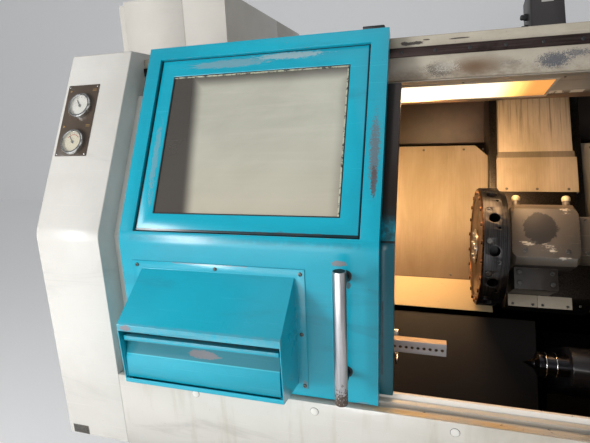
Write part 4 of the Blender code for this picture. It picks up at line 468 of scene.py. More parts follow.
def sheet_look(name, share, streaks=0.0, lip=False):
    """Thin satin cover sheet: fine brushed lines up the slant, oil clouds and, on old ones, dark streaks and a
    darker band at the top.
    """
    # Its tan tone is partly coolant stain and partly painted warm lamp light; share makes lighter and darker copies,
    # painted light and shade for sheets that the lamp reaches differently.
    look = Look(name, tinted("AFA290", share))
    lines = look.noise(5.0, 4, 0.65, look.slanted((60, 1.0, 60)))
    broad = look.noise(2.4, 5, 0.6, look.slanted((3.0, 0.8, 1)), 0.4)
    look.over(look.step(broad, 0.3, 0.72), tinted("92866F", share))
    look.over(look.step(lines, 0.35, 0.75, 0.0, 0.26), tinted("7A6D58", share))
    climb = look.split(look.slanted(), "Y")

    def rise(low, high, out_low=0.0, out_high=1.0):
        return look.step(climb, slant_rise(low), slant_rise(high), out_low, out_high)

    if streaks:
        drips = look.noise(9.0, 4, 0.7, look.slanted((16.0, 0.30, 1)), 0.2)
        reach = look.noise(5.0, 3, 0.6, look.slanted((20.0, 0.05, 1)))
        long = look.step(look.plus(rise(0.62, 0.965), reach), 0.55, 1.1)
        look.over(look.times(look.step(drips, 0.48, 0.66), long), "4F4236", streaks)
        look.over(rise(0.88, 0.975, 0.0, 0.75), "3A2E25")
    # On the lip: a painted highlight where it faces up to the lamp, a painted shade line along the fold, and painted
    # shade just above the fold, fading up the slant.
    if lip:
        band = rise(FOLD_U, 0.2485, 1.0, 0.0)
        look.over(band, "DCC69C", 0.90)
        look.over(look.span(climb, slant_rise(0.2475), slant_rise(0.2495), 0.0010), "3A2C20", 0.60)
        look.over(look.times(rise(0.27, 0.52, 0.75, 0.0), look.less(1.0, band)), "5F4A36")
    look.over(look.step(look.noise(60.0, 5, 0.6), 0.66, 0.74), "6A5A48", 0.30)
    look.bump(lines, 0.0002, 0.25)
    return look.done(rough=look.step(broad, 0.2, 0.8, 0.58, 0.70), metal=0.15)


def disc_look():
    """Blued steel rim with turned lines; the left face is stained to a coppery brown."""
    look = metal("worn_disc", "4C4B4B", "262424", 0.38, (60, 1.5, 1.5), 0.45, 0.0016, 0.08)
    face = look.span(look.axis("X"), DISC_LEFT - 0.01, DISC_LEFT + 0.0032, 0.0008)
    copper = look.noise(30.0, 6, 0.7, None, 0.8)
    stained = look.mix(look.step(copper, 0.35, 0.65), "6E4B35", "2F2019")
    shine = look.step(look.noise(90.0, 4, 0.6), 0.60, 0.68)
    look.over(face, look.mix(look.times(shine, 0.5), stained, "A88A6C"))
    return look.done()


def handle_look():
    """Polished tube, pitted at its lower end; the stand-offs behind it are painted black."""
    look = metal("handle_tube", "D4D4D6", "A5A5A8", 0.24, (8, 8, 0.6), 0.10, 0.0012)
    reach = look.along("Z", 0.045, 0.130, 1.0, 0.0)
    pits = look.noise(210.0, 6, 0.75, None, 0.5)
    worn = look.step(look.plus(look.times(reach, 0.35), pits), 0.70, 0.80)
    look.over(worn, "5E5248")
    look.over(look.times(reach, look.step(pits, 0.30, 0.40, 0.7, 0.0)), "D9D2C6")
    black = look.along("Y", -0.0572, -0.0566)
    look.over(black, "15181A")
    look.bump(look.less(1.0, worn), 0.0005, 0.6)
    return look.done(metal=look.less(1.0, look.most(black, look.times(worn, 0.6))),
                     rough=look.plus(look.times(worn, 0.30), 0.38))


def bar_look():
    """The holed angle bar in old tan paint, pale grey on the faces that look to the front."""
    look = enamel("angle_bar", "C2AB94", "A08974", "6A655F", 0.5, 0.8, 0.6, 0.001, 13.0)
    look.over(look.step(look.facing("Y"), -0.8, -0.6, 0.85, 0.0), "B2B4BC")
    return look.done()


def beam_look():
    """Old cream paint: dark chips over the rail, rubbed grey spots, a brown smudge, patchily darker towards the
    lamp's edge.
    """
    look = enamel("cream_beam", "BDB4A2", "A2998A", "3A322C", 0.46, 0.8, 0.5, 0.0025, 2.0)
    darkening = look.step(look.noise(14.0, 6, 0.7, look.stretched((0.5, 1, 1))), 0.38, 0.62)
    look.over(look.times(look.along("Z", 0.715, 0.768, 0.9, 0.25), darkening), "7A6A56")
    look.over(look.smudge((0.190, BEAM_Y, 0.738), (0.075, 0.2, 0.030)), "6E533A", 0.95)
    look.over(look.smudge((0.01, BEAM_Y, 0.74), (0.09, 0.2, 0.07)), "6E5F50", 0.6)
    look.rub((
        ((0.115, BEAM_Y, 0.736), (0.062, 0.05, 0.030), 420, 0.30, 0.85, "524A42", EVEN),
        ((0.128, BEAM_Y, 0.740), (0.060, 0.05, 0.026), 420, 0.25, 0.50, "D9D2C4", EVEN),
        ((0.355, BEAM_Y, 0.740), (0.062, 0.05, 0.030), 460, 0.33, 0.90, INK, EVEN),
        ((0.395, BEAM_Y, 0.752), (0.060, 0.05, 0.018), 460, 0.28, 0.80, INK, EVEN),
        ((0.270, BEAM_Y, 0.740), (0.060, 0.05, 0.014), 330, 0.22, 0.60, "7E7870", EVEN),
        ((0.048, BEAM_Y, 0.7985), (0.050, 0.2, 0.0085), 120, 0.36, 0.95, SOOT, SMEARED),
        ((0.082, BEAM_Y, 0.8040), (0.014, 0.2, 0.0025), 60, 0.44, 0.95, SOOT, SMEARED),
        ((0.158, BEAM_Y, 0.8015), (0.034, 0.2, 0.0028), 60, 0.44, 0.95, SOOT, SMEARED),
    ))
    look.over(look.step(look.noise(210.0, 4, 0.7), 0.66, 0.70), "6B6258", 0.5)
    return look.done()


def sill_look():
    """The door sill: a painted highlight on the lip at the back, a grey track, a painted patch of warm lamp light on
    the ledge beside the door, chips all along.
    """
    look = enamel("cream_sill", "C4BFB5", "A8A297", "2E2822", 0.40, 1.0, 0.8, 0.003, 5.0)
    # The bright strip is a painted highlight where the lip catches the light.
    lip_highlight = look.times(look.along("Y", 0.0425, 0.0435), look.step(look.noise(16.0, 5), 0.30, 0.42))
    look.over(lip_highlight, "E6E1D8")
    # This tan patch is painted warm light from the work lamp on the ledge in front of the work area.
    grime = look.times(look.within("X", 0.02, 0.26, 0.10), look.within("Y", -0.02, 0.004, 0.003))
    look.over(look.times(grime, look.step(look.noise(9.0, 5), 0.30, 0.60)), "C6AA80")
    look.over(look.within("Y", 0.053, 0.07, 0.001), "8A5E3A", 0.8)
    look.over(look.step(look.noise(55.0, 6, 0.7), 0.66, 0.70), "4A4239", 0.8)
    return look.done()


def soffit_look():
    """The sloping ceiling panel: cream near the beam, a brown upright at its back, oil and painted shade together, a
    row of chips between.
    """
    look = enamel("cream_soffit", "A49C8E", "857C6E", "2E2822", 0.42, 0.8, 0.7, 0.002, 12.0)
    # The brown upright is oil together with painted shade.
    overlay = look.mix(look.step(look.noise(10.0, 6), 0.35, 0.7), "4A3426", "261A14")
    look.over(look.along("Y", 0.385, 0.420), overlay)
    chips = look.step(look.noise(26.0, 4, 0.7, look.stretched((1.0, 0.3, 0.3))), 0.50, 0.56)
    look.over(look.times(look.within("Y", 0.395, 0.412, 0.003), chips), "C9C0AE")
    scratches = look.step(look.noise(30.0, 4, 0.6, look.stretched((0.2, 3.0, 3.0)), 1.0), 0.62, 0.68)
    look.over(scratches, "3A3028", 0.5)
    return look.done()


def apron_look():
    """The white apron with faint vertical runs of coolant."""
    look = enamel("off_white_apron", "CAC7BF", "BBB7AD", TAN_WEAR, 0.36, 0.5, 0.35, 0.002, 9.0)
    runs = look.noise(6.0, 5, 0.65, look.stretched((3.0, 1.0, 0.35)))
    look.over(look.step(runs, 0.52, 0.70, 0.0, 0.45), "A9A08C")
    # Darker and browner towards the right: grime and painted shade together.
    darkening = look.step(look.noise(5.0, 6, 0.65, look.stretched((1.0, 1.0, 0.6))), 0.30, 0.60, 0.35, 0.75)
    look.over(look.times(look.along("X", -0.05, 0.35), darkening), "938772")
    return look.done()


def glass_look():
    """Old safety glass: a pale coolant haze with wipe marks, with a painted dark reflection at the left and painted
    shade along the top and right.
    """
    look = Look("hazed_glass", "C4C3B3")
    haze = look.noise(2.6, 5, 0.55, look.stretched((1, 1, 1.2)), 0.4)
    wipes = look.noise(12.0, 4, 0.6, look.stretched((0.15, 1, 3.0), (0, radians(6), 0)), 0.8)
    drop = look.times(look.less(look.axis("Z"), CORNER.z + PANE_TOP), 0.07)
    left = look.step(look.plus(look.axis("X"), drop), CORNER.x - 0.500, CORNER.x - 0.462, 1.0, 0.0)
    upper = look.along("Z", PANE_TOP - 0.042, PANE_TOP - 0.010, 0.0, 0.85)
    right = look.along("X", -0.118, -0.088, 0.0, 0.35)
    look.over(look.step(haze, 0.35, 0.7), "ACA99B")
    look.over(look.step(wipes, 0.45, 0.75, 0.0, 0.30), "D2D0C0")
    look.over(look.along("Z", PANE_TOP - 0.38, PANE_TOP - 0.12, 0.6, 0.0), "C9BEA8")
    # The dark bands are painted: a reflection at the left, shade along the top and right edges.
    look.over(look.most(left, look.most(upper, right)), "3B3533", 0.92)
    look.bump(look.noise(9.0, 2), 0.0004, 0.15)
    return look.done(rough=0.12, alpha=look.less(0.92, look.times(haze, 0.12)), coat=0.2)


def lamp_look(name, colour, power):
    """A glowing surface, white in its middle and amber towards its right end."""
    look = Look(name, colour)

    def beyond(low_share, high_share):
        length = PANE_HIGH.x - PANE_LOW.x
        return look.step(look.axis("X"), PANE_LOW.x + length * low_share, PANE_LOW.x + length * high_share)

    look.over(look.step(look.noise(7.0, 4), 0.2, 0.8), tinted(colour, 0.92))
    look.over(beyond(0.66, 0.80), "FFD67A")
    amber = beyond(0.76, 0.90)
    look.over(amber, "D6924A")
    return look.done(rough=0.3, glow=look.tone, glow_power=look.less(power, look.times(amber, power * 0.35)))


def sealant_look():
    """Aged sealant, pale where it is left and dark where it has gone."""
    look = Look("aged_sealant", "35383A")
    look.over(look.step(look.noise(95.0, 5, 0.7), 0.40, 0.52), "B4B69E")
    return look.done(rough=0.6)


WHITE_LOOK = enamel("off_white_covers", OFF_WHITE, OFF_WHITE_SHADE, TAN_WEAR, 0.36, 0.40, 0.20, 0.0020).material
CABINET_LOOK = enamel("off_white_cabinet", "D2CDC4", "C3BEB5", "8A8378", 0.42, 0.3, 0.12, 0.002, 4.0).material
BASE_LOOK = enamel("grey_base", "5C5E62", "4A4C50", "8C8A85", 0.5, 0.5, 0.4, 0.003, 1.0).material
TAIL_LOOK = enamel("tailstock_casting", "1A1718", "0C0B0D", "3A3432", 0.34, 0.7, 0.6, 0.003, 6.5).material
# The guard sheets are near-black: the work area's shade is painted into them.
DARK_LOOK = enamel("guard_painted_shade", "17100E", "0A0706", "3A2D24", 0.62, 0.4, 0.6, 0.002, 8.0).done(coat=0.0)
MOTOR_LOOK = enamel("motor_paint", "35302F", "231F1F", "6A6460", 0.5, 0.7, 0.5, 0.0015, 15.0).material
BRONZE_LOOK = enamel("gauge_plate_bronze", "5A4C40", "40352B", "9A8C78", 0.34, 0.8, 0.5, 0.0015, 11.0).material
PLATE_LOOK = enamel("light_end_plates", "B3A894", "93887A", "6A655E", 0.5, 0.7, 0.5, 0.001, 14.0).material
COVER_LOOK = sheet_look("way_cover_sheet", 1.12, 0.0, True)
IRON_LOOK = metal("machined_iron", "6E6B65", "45423E", 0.40, (40, 1, 40), 0.5, 0.002).material
# Dark brown bed iron: oil together with painted shade of the work area.
BED_LOOK = metal("oil_and_painted_shade_bed_iron", "332A24", "17120F", 0.40, (1, 40, 40), 0.6, 0.002).material
SLIDE_LOOK = metal("cross_slide_iron", "4A4541", "262321", 0.40, (40, 1, 40), 0.6, 0.002).material
STEEL_LOOK = metal("ground_steel", "C9C9C7", "8F8F8D", 0.26, (60, 60, 1), 0.3, 0.0015).material
OILY_LOOK = metal("oiled_quill", "3C3B3E", "17171A", 0.30, (1, 60, 60), 0.6, 0.0012).material
CHUCK_LOOK = metal("chuck_steel", "A9A9A6", "6C6B68", 0.28, (1, 50, 50), 0.35, 0.0015).material
RAIL_LOOK = metal("rail_strip", "4E4341", "352C2A", 0.44, (1, 60, 60), 0.7, 0.0015).material
CHROME_LOOK = metal("chrome_bezel", "D8D8D6", "A4A4A2", 0.18, (30, 30, 30), 0.1).material
SCREW_LOOK = metal("screw_steel", "8C8984", "3E3A36", 0.35, (80, 80, 80), 0.6).material
BLACK_LOOK = plain("black_fittings", "1C1D1F", 0.45)
RUBBER_LOOK = plain("black_rubber", "16181A", 0.55)

# Each finish with the width of its softened edges and the nodes that wear it
FINISHES = (
    (DOOR_LOOK, 0.0030, "door_shell"),
    (SASH_LOOK, 0.0015, "window_sash"),
    (POST_LOOK, 0.0020, "door_end_post"),
    (HOOD_LOOK, 0.0008, "parts_hood"),
    (DRAWER_LOOK, 0.0010, "parts_drawer"),
    (handle_look(), 0.0006, "door_handle"),
    (STEEL_LOOK, 0.0005, "door_roller_1 door_roller_2"),
    (glass_look(), 0.0, "window_pane"),
    (WHITE_LOOK, 0.0030, "left_column"),
    (cover_right_look(), 0.0030, "right_end_cover"),
    (apron_look(), 0.0012, "front_apron"),
    (WHITE_LOOK, 0.0012, "headstock_cover"),
    (inner_oil_and_shade_look("roof_sheet", "Z", 1.5), 0.0010, "roof_panel"),
    (inner_oil_and_shade_look("rear_sheet", "Y", 2.5), 0.0010, "rear_wall"),
    (CABINET_LOOK, 0.0020, "cabinet_body cabinet_front_door cabinet_rear_door"),
    (beam_look(), 0.0030, "top_beam"),
    (sill_look(), 0.0010, "door_sill"),
    (soffit_look(), 0.0008, "lamp_soffit"),
    (CABINET_LOOK, 0.0010, "control_panel"),
    (RAIL_LOOK, 0.0010, "door_rail"),
    (BASE_LOOK, 0.0040, "machine_base"),
    (BASE_LOOK, 0.0010, "headstock_housing"),
    (BED_LOOK, 0.0015, "slant_bed"),
    (IRON_LOOK, 0.0015, "saddle"),
    (SLIDE_LOOK, 0.0010, "cross_slide"),
    (casting_look(), 0.0010, "turret_housing"),
    (TAIL_LOOK, 0.0010, "tailstock_body"),
    (disc_look(), 0.0006, "turret_disc"),
    (CHUCK_LOOK, 0.0010, "spindle_shaft"),
    (CHUCK_LOOK, 0.0008, "chuck_body"),
    (STEEL_LOOK, 0.0008, "chuck_jaw_1 chuck_jaw_2 chuck_jaw_3"),
    (OILY_LOOK, 0.0006, "tailstock_quill"),
    (OILY_LOOK, 0.0004, "live_centre"),
    (bar_look(), 0.0004, "holed_angle_bar"),
    (COVER_LOOK, 0.0004, "way_cover_left way_cover_right"),
    # The cross covers' shares are painted light and shade: the lower and upper sheets lighter, the middle one
    # darker.
    (sheet_look("cross_cover_painted_light", 1.20), 0.0004, "cross_cover_lower"),
    (sheet_look("cross_cover_painted_shade", 0.62), 0.0004, "cross_cover_middle"),
    (sheet_look("cross_cover_streaked_painted_light", 1.6, 0.60), 0.0004, "cross_cover_upper"),
    (DARK_LOOK, 0.0005, "work_area_left_wall work_area_right_wall"),
    (MOTOR_LOOK, 0.0010, "cross_feed_motor"),
    (BRONZE_LOOK, 0.0004, "gauge_plate"),
    (CHROME_LOOK, 0.0003, "upper_gauge lower_gauge"),
    (BLACK_LOOK, 0.0, "upper_gauge_needle lower_gauge_needle"),
    (BLACK_LOOK, 0.0010, "door_lock_bracket"),
    (plain("red_button", "C41E1A", 0.30), 0.0010, "emergency_stop"),
    (lamp_look("lamp_pane", "FFF0D0", 1.6), 0.0, "work_lamp_pane"),
    (lamp_look("lamp_tube", "FFF6E0", 4.0), 0.0, "work_lamp_tube"),
    (IRON_LOOK, 0.0010, "levelling_foot_1 levelling_foot_2 levelling_foot_3 levelling_foot_4"),
)
WIDE_EDGE = 0.0025
SMOOTH_CAD = 32
SMOOTH_FITTING = 35


def shade(obj, angle):
    obj.data.shade_smooth()
    obj.data.set_sharp_from_angle(angle=radians(angle))


def round_edges(obj, width):
    """Soft machined or folded edges on a CAD piece."""
    weld = obj.modifiers.new("weld", "WELD")
    weld.merge_threshold = 0.00002
    bevel = obj.modifiers.new("edges", "BEVEL")
    bevel.width = width
    bevel.segments = 3 if width > WIDE_EDGE else 2
    bevel.limit_method = "ANGLE"
    bevel.angle_limit = radians(SMOOTH_CAD)
    bevel.harden_normals = True


def dress_cad():
    for look, edge, names in FINISHES:
        for name in names.split():
            node = NODES[name]
            node.data.materials.clear()
            node.data.materials.append(look)
            if edge:
                round_edges(node, edge)
            shade(node, SMOOTH_CAD)


# Fittings

class Piece:
    """Simple solids in one mesh, each with its own placing. The end of its with block puts it on its body."""

    def __init__(self, name, look, body="frame"):
        self.name, self.look, self.body = name, look, body
        self.mesh = bmesh.new()

    def __enter__(self):
        return self

    def __exit__(self, fault, value, trace):
        if fault:
            return
        bmesh.ops.recalc_face_normals(self.mesh, faces=self.mesh.faces)
        data = bpy.data.meshes.new(self.name)
        self.mesh.to_mesh(data)
        self.mesh.free()
        obj = bpy.data.objects.new(self.name, data)
        bpy.context.scene.collection.objects.link(obj)
        data.materials.append(self.look)
        shade(obj, SMOOTH_FITTING)
        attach(obj, self.body)

    def turned(self, profile, matrix, steps=20, ring=False):
        """A closed body of revolution about the placing's Z, from (radius, height) points, bottom to top; a ring's
        points go round its section instead."""
        rings = []
        for r, h in profile:
            if r < 1e-6:
                rings.append([self.mesh.verts.new(matrix @ Vector((0, 0, h)))])
            else:
                angles = [2 * pi * i / steps for i in range(steps)]
                rings.append([self.mesh.verts.new(matrix @ Vector((r * cos(a), r * sin(a), h))) for a in angles])
        for low, high in zip(rings, rings[1:] + rings[:1] if ring else rings[1:]):
            for i in range(steps):
                j = (i + 1) % steps
                corners = [low[i % len(low)], low[j % len(low)], high[j % len(high)], high[i % len(high)]]
                face = list(dict.fromkeys(corners))
                if len(face) > 2:
                    self.mesh.faces.new(face)
        for end, flip in () if ring else ((rings[0], True), (rings[-1], False)):
            if len(end) > 2:
                self.mesh.faces.new(end[::-1] if flip else end)

    def disc(self, radius, low, high, matrix, steps):
        self.turned([(radius, low), (radius, high), (0, high)], matrix, steps)

    def cap(self, radius, low, shoulder, crown, top, matrix, steps):
        """A disc whose upper edge falls from the crown's radius to its shoulder."""
        self.turned([(radius, low), (radius, shoulder), (crown, top), (0, top)], matrix, steps)

    def block(self, low, high, matrix, bevel=0.0):
        size = Vector(high) - Vector(low)
        middle = (Vector(high) + Vector(low)) / 2
        made = bmesh.ops.create_cube(self.mesh, size=1)["verts"]
        for vert in made:
            vert.co = vert.co * size + middle
        if bevel:
            edges = list({e for v in made for e in v.link_edges})
            made = bmesh.ops.bevel(self.mesh, geom=edges, offset=bevel, segments=2, profile=0.5,
                                   affect="EDGES")["verts"]
        for vert in set(made):
            vert.co = matrix @ vert.co

    def bars(self, matrix, x, y, z, width):
        """Four flat bars round a rectangle of a plane, inside its outline x, y and between the heights z."""
        for low, high in (((x[0], y[0]), (x[1], y[0] + width)), ((x[0], y[1] - width), (x[1], y[1])),
                          ((x[0], y[0] + width), (x[0] + width, y[1] - width)),
                          ((x[1] - width, y[0] + width), (x[1], y[1] - width))):
            self.block((*low, z[0]), (*high, z[1]), matrix)

    def dome_screw(self, matrix, radius, height):
        """A round-headed screw with a socket."""
        socket = radius * 0.42
        self.turned([(radius, 0), (radius, height * 0.25), (radius * 0.86, height * 0.72), (radius * 0.6, height),
                     (socket, height), (socket, height * 0.3), (0, height * 0.3)], matrix, 18)

    def cap_screw(self, matrix, radius, height):
        """A cylindrical cap screw with a socket."""
        socket = radius * 0.5
        self.turned([(radius, 0), (radius, height * 0.88), (radius * 0.9, height), (socket, height),
                     (socket, height * 0.4), (0, height * 0.4)], matrix, 18)

    def hex_bolt(self, matrix, radius, height):
        """A hexagon bolt on a washer."""
        self.disc(radius * 1.35, 0, height * 0.2, matrix, 20)
        self.cap(radius, height * 0.2, height * 0.9, radius * 0.9, height, matrix, 6)


def screw_group(head, name, places, radius, height, body="frame", look=SCREW_LOOK):
    """A group of screws, with one kind of head."""
    with Piece(name, look, body) as piece:
        for matrix in places:
            head(piece, matrix, radius, height)


def dome_screws(name, places, radius, height=None, body="frame", look=SCREW_LOOK):
    screw_group(Piece.dome_screw, name, places, radius, height or radius * 0.6, body, look)


def cap_screws(name, places, radius, height, body):
    screw_group(Piece.cap_screw, name, places, radius, height, body)


def fit_door():
    """Hood and bracket screws, window rubber and sealant, the handle's flanges and plugs, the edge wiper."""
    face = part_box("parts_hood")[1].y - CORNER.y - 0.002
    spots = ((-0.586, 0.304), (-0.376, 0.304), (-0.170, 0.304), (-0.172, 0.159), (-0.169, 0.028), (-0.588, 0.165),
             (-0.588, 0.028))
    dome_screws("hood_screws", [front_plane(x, z, face) for x, z in spots], 0.0048, None, "door")
    slope = slope_plane(0, 0)
    with Piece("sash_rubber", RUBBER_LOOK, "door") as ring:
        ring.bars(slope, (-0.5948, -0.0402), (0.0162, 0.4808), (-0.012, -0.0085), 0.0026)
        ring.bars(slope, (-0.5508, -0.0862), (0.0632, 0.4318), (-0.0093, -0.0072), 0.0022)
    with Piece("glass_sealant", sealant_look(), "door") as bead:
        bead.block((-0.548, 0.4262, -0.0093), (-0.0886, 0.4296, -0.0066), slope, 0.0007)
        bead.block((-0.0922, 0.0656, -0.0093), (-0.0886, 0.4262, -0.0066), slope, 0.0007)
    cap_screws("lock_bracket_screws", [place(x, 0.262, 0.840) for x in (-0.052, -0.022)], 0.0048, 0.004, "door")
    grip_x, grip_y = -0.070, -0.070
    with Piece("handle_flanges", BLACK_LOOK, "door") as grip:
        for z in (0.078, 0.306):
            grip.cap(0.0135, 0, 0.0022, 0.0120, 0.0032, front_plane(grip_x, z), 24)
            grip.disc(0.0110, 0.0032, 0.0052, front_plane(grip_x, z), 6)
    low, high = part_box("door_handle")
    with Piece("handle_bore_plugs", RUBBER_LOOK, "door") as plugs:
        for z in (low.z - 0.0003, high.z - 0.0017):
            plugs.disc(0.0121, 0, 0.002, Matrix.Translation((CORNER.x + grip_x, CORNER.y + grip_y, z)), 24)
    with Piece("door_edge_wiper", RUBBER_LOOK, "door") as wiper:
        wiper.block((-0.0085, 0.0326, 0.010), (-0.0035, 0.0346, BEND_RISE), place(0, 0, 0))


def fit_beam():
    """Screws along the door's rail, the lamp's bezel, the apron's plugs, the sill's screws and the bare plate."""
    rail = [front_plane(-0.6545 + 0.0757 * i, 0.7788, 0.2617) for i in range(17)]
    dome_screws("rail_screws", rail, 0.0042, 0.0014, look=BLACK_LOOK)
    fold = place(0, 0.283, 0.711) @ Matrix.Rotation(-atan2(0.050, 0.167), 4, "X")
    with Piece("lamp_bezel", PLATE_LOOK) as bezel:
        bezel.bars(fold, (-0.0420, 0.3800), (0.0262, 0.1538), (-0.0011, -0.0001), 0.0070)
    under = fold @ turn(180, "X")
    spots = [under @ Matrix.Translation((x, -v, 0.0001)) for x in (-0.049, 0.17, 0.388) for v in (0.0225, 0.1575)]
    dome_screws("lamp_screws", spots, 0.0032, 0.0012)
    cap_look = plain("plug_caps", "E4E1D9", 0.4, 0, 200.0, 0.2)
    with Piece("apron_plug_rims", BLACK_LOOK) as rims, Piece("apron_plug_caps", cap_look) as caps:
        for x in (-0.455, -0.146, 0.164, 0.474):
            seat = front_plane(x, -0.030, APRON_Y)
            rims.disc(0.0103, 0, 0.0005, seat, 24)
            caps.cap(0.0095, 0, 0.0010, 0.0075, 0.0018, seat, 24)
    dome_screws("sill_screws", [place(x, 0.020, -0.0165) for x in (-0.6, -0.3, 0.10, 0.35, 0.58)], 0.0040, 0.0015)
    with Piece("bare_data_plate", IRON_LOOK) as plate:
        plate.block((-0.8622, -0.2153, 0), (-0.8103, -0.1890, 0.0008), front_plane(0, 0, APRON_Y), 0.0003)


def fit_gauges():
    """Dials with plain ticks and a red arc, plain marks on their plate, bezels, glasses and screws."""
    seats = [slope_plane(GAUGE_X, s, GAUGE_DEPTH) for s in GAUGE_RISES]
    dials = (("upper_dial", plain("white_dial", "DAD7CE", 0.5, 0, 200.0, 0.1)),
             ("lower_dial", plain("cream_dial", "CFC5AA", 0.5, 0, 200.0, 0.15)))
    for (name, look), seat in zip(dials, seats):
        with Piece(name, look) as dial:
            dial.disc(0.0297, 0.00595, 0.00612, seat, 48)
    mark_low, mark_high, tick_end = 0.00610, 0.00622, 0.0268
    with Piece("dial_marks", BLACK_LOOK) as marks:
        for seat in seats:
            for i in range(41):
                length = 0.0042 if i % 8 == 0 else 0.0030 if i % 4 == 0 else 0.0018
                width = 0.0005 if i % 4 == 0 else 0.00025
                marks.block((-width, tick_end - length, mark_low), (width, tick_end, mark_high),
                            seat @ turn(135 - i * 6.75, "Z"))
            marks.disc(0.0042, mark_low, mark_high, seat, 20)
    with Piece("dial_arc", plain("dial_arc_red", "B5432A", 0.5)) as arc:
        for i in range(22):
            arc.block((-0.00105, 0.0192, mark_low), (0.00105, 0.0212, 0.00620), seats[1] @ turn(55 - i * 5.0, "Z"))
    thick = 0.0002
    with Piece("plate_marks", plain("gold_marks", "B9955F", 0.45, 0.4)) as gold:
        for s in GAUGE_RISES:
            for i in range(11):
                spin = slope_plane(GAUGE_X, s, PLATE_DEPTH) @ turn(125 - i * 7.5, "Z")
                gold.block((-0.0006, 0.0385, 0), (0.0006, 0.0425, thick), spin)
            for rise in (0.0500, 0.0460):
                gold.block((-0.783, s + rise, 0), (-0.770, s + rise + 0.0012, thick), slope_plane(0, 0, PLATE_DEPTH))
            gold.disc(0.0042, 0, thick, slope_plane(-0.853, s + 0.047, PLATE_DEPTH), 3)
    low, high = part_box("upper_gauge")
    reach = (high.x - low.x) / 2
    section = ((0.0003, 0), (0.0003, 0.0108), (-0.0016, 0.0128), (-0.0048, 0.0130), (-0.0058, 0.0112),
               (-0.0010, 0.0100), (-0.0010, 0))
    with Piece("gauge_bezels", CHROME_LOOK) as bezels:
        for seat in seats:
            bezels.turned([(reach + r, h) for r, h in section], seat, 72, True)
    clear = Look("gauge_glass", "F2F2EE")
    overlay = clear.noise(40.0, 4)
    clear.over(overlay, "DCDCD4")
    with Piece("gauge_glasses", clear.done(rough=0.06, alpha=clear.step(overlay, 0.4, 0.8, 0.08, 0.16))) as glass:
        for seat in seats:
            glass.disc(0.0298, 0.0103, 0.0110, seat, 48)
    corners = [slope_plane(x, s, PLATE_DEPTH) for x in (-0.8585, -0.7705) for s in (0.2135, 0.4085)]
    dome_screws("gauge_plate_screws", corners, 0.0027, look=CHROME_LOOK)


def fit_control_panel():
    """Unlettered keys, a dark screen in its rim, the stop's collar and four screws."""
    grey, red, green, yellow = "C4C2BB", "A33A2E", "3F7F55", "C8B14A"
    pitch, side = 0.030, 0.0185
    keys = {}
    for row in range(3):
        for column in range(8):
            tone = {(0, 0): red, (0, 1): green, (2, 6): yellow, (2, 7): yellow}.get((row, column), grey)
            keys.setdefault(tone, []).append((0.75075 + column * pitch, 0.10075 + row * pitch))
    plane = slope_plane(0, 0)
    for tone, spots in keys.items():
        with Piece("panel_keys_" + tone.lower(), plain("keys_" + tone.lower(), tone, 0.42)) as caps:
            for x, s in spots:
                caps.block((x, s, 0.0409), (x + side, s + side, 0.0446), plane, 0.0012)
    screen_x, screen_s = (0.7502, 1.0998), (0.2352, 0.4198)
    with Piece("panel_screen", plain("dark_screen", "0E1416", 0.12, 0, 60.0, 0.3)) as screen:
        screen.block((screen_x[0], screen_s[0], 0.0373), (screen_x[1], screen_s[1], 0.0379), plane)
    with Piece("screen_rim", BLACK_LOOK) as rim:
        rim.bars(plane, screen_x, screen_s, (0.0379, 0.0430), 0.009)
    with Piece("stop_collar", plain("yellow_collar", "D9A514", 0.4)) as collar:
        collar.cap(0.030, 0, 0.0014, 0.028, 0.0020, slope_plane(1.080, 0.115, PANEL_DEPTH), 36)
    corners = [slope_plane(x, s, PANEL_DEPTH) for x in (0.734, 1.116) for s in (0.084, 0.436)]
    dome_screws("control_panel_screws", corners, 0.0042)


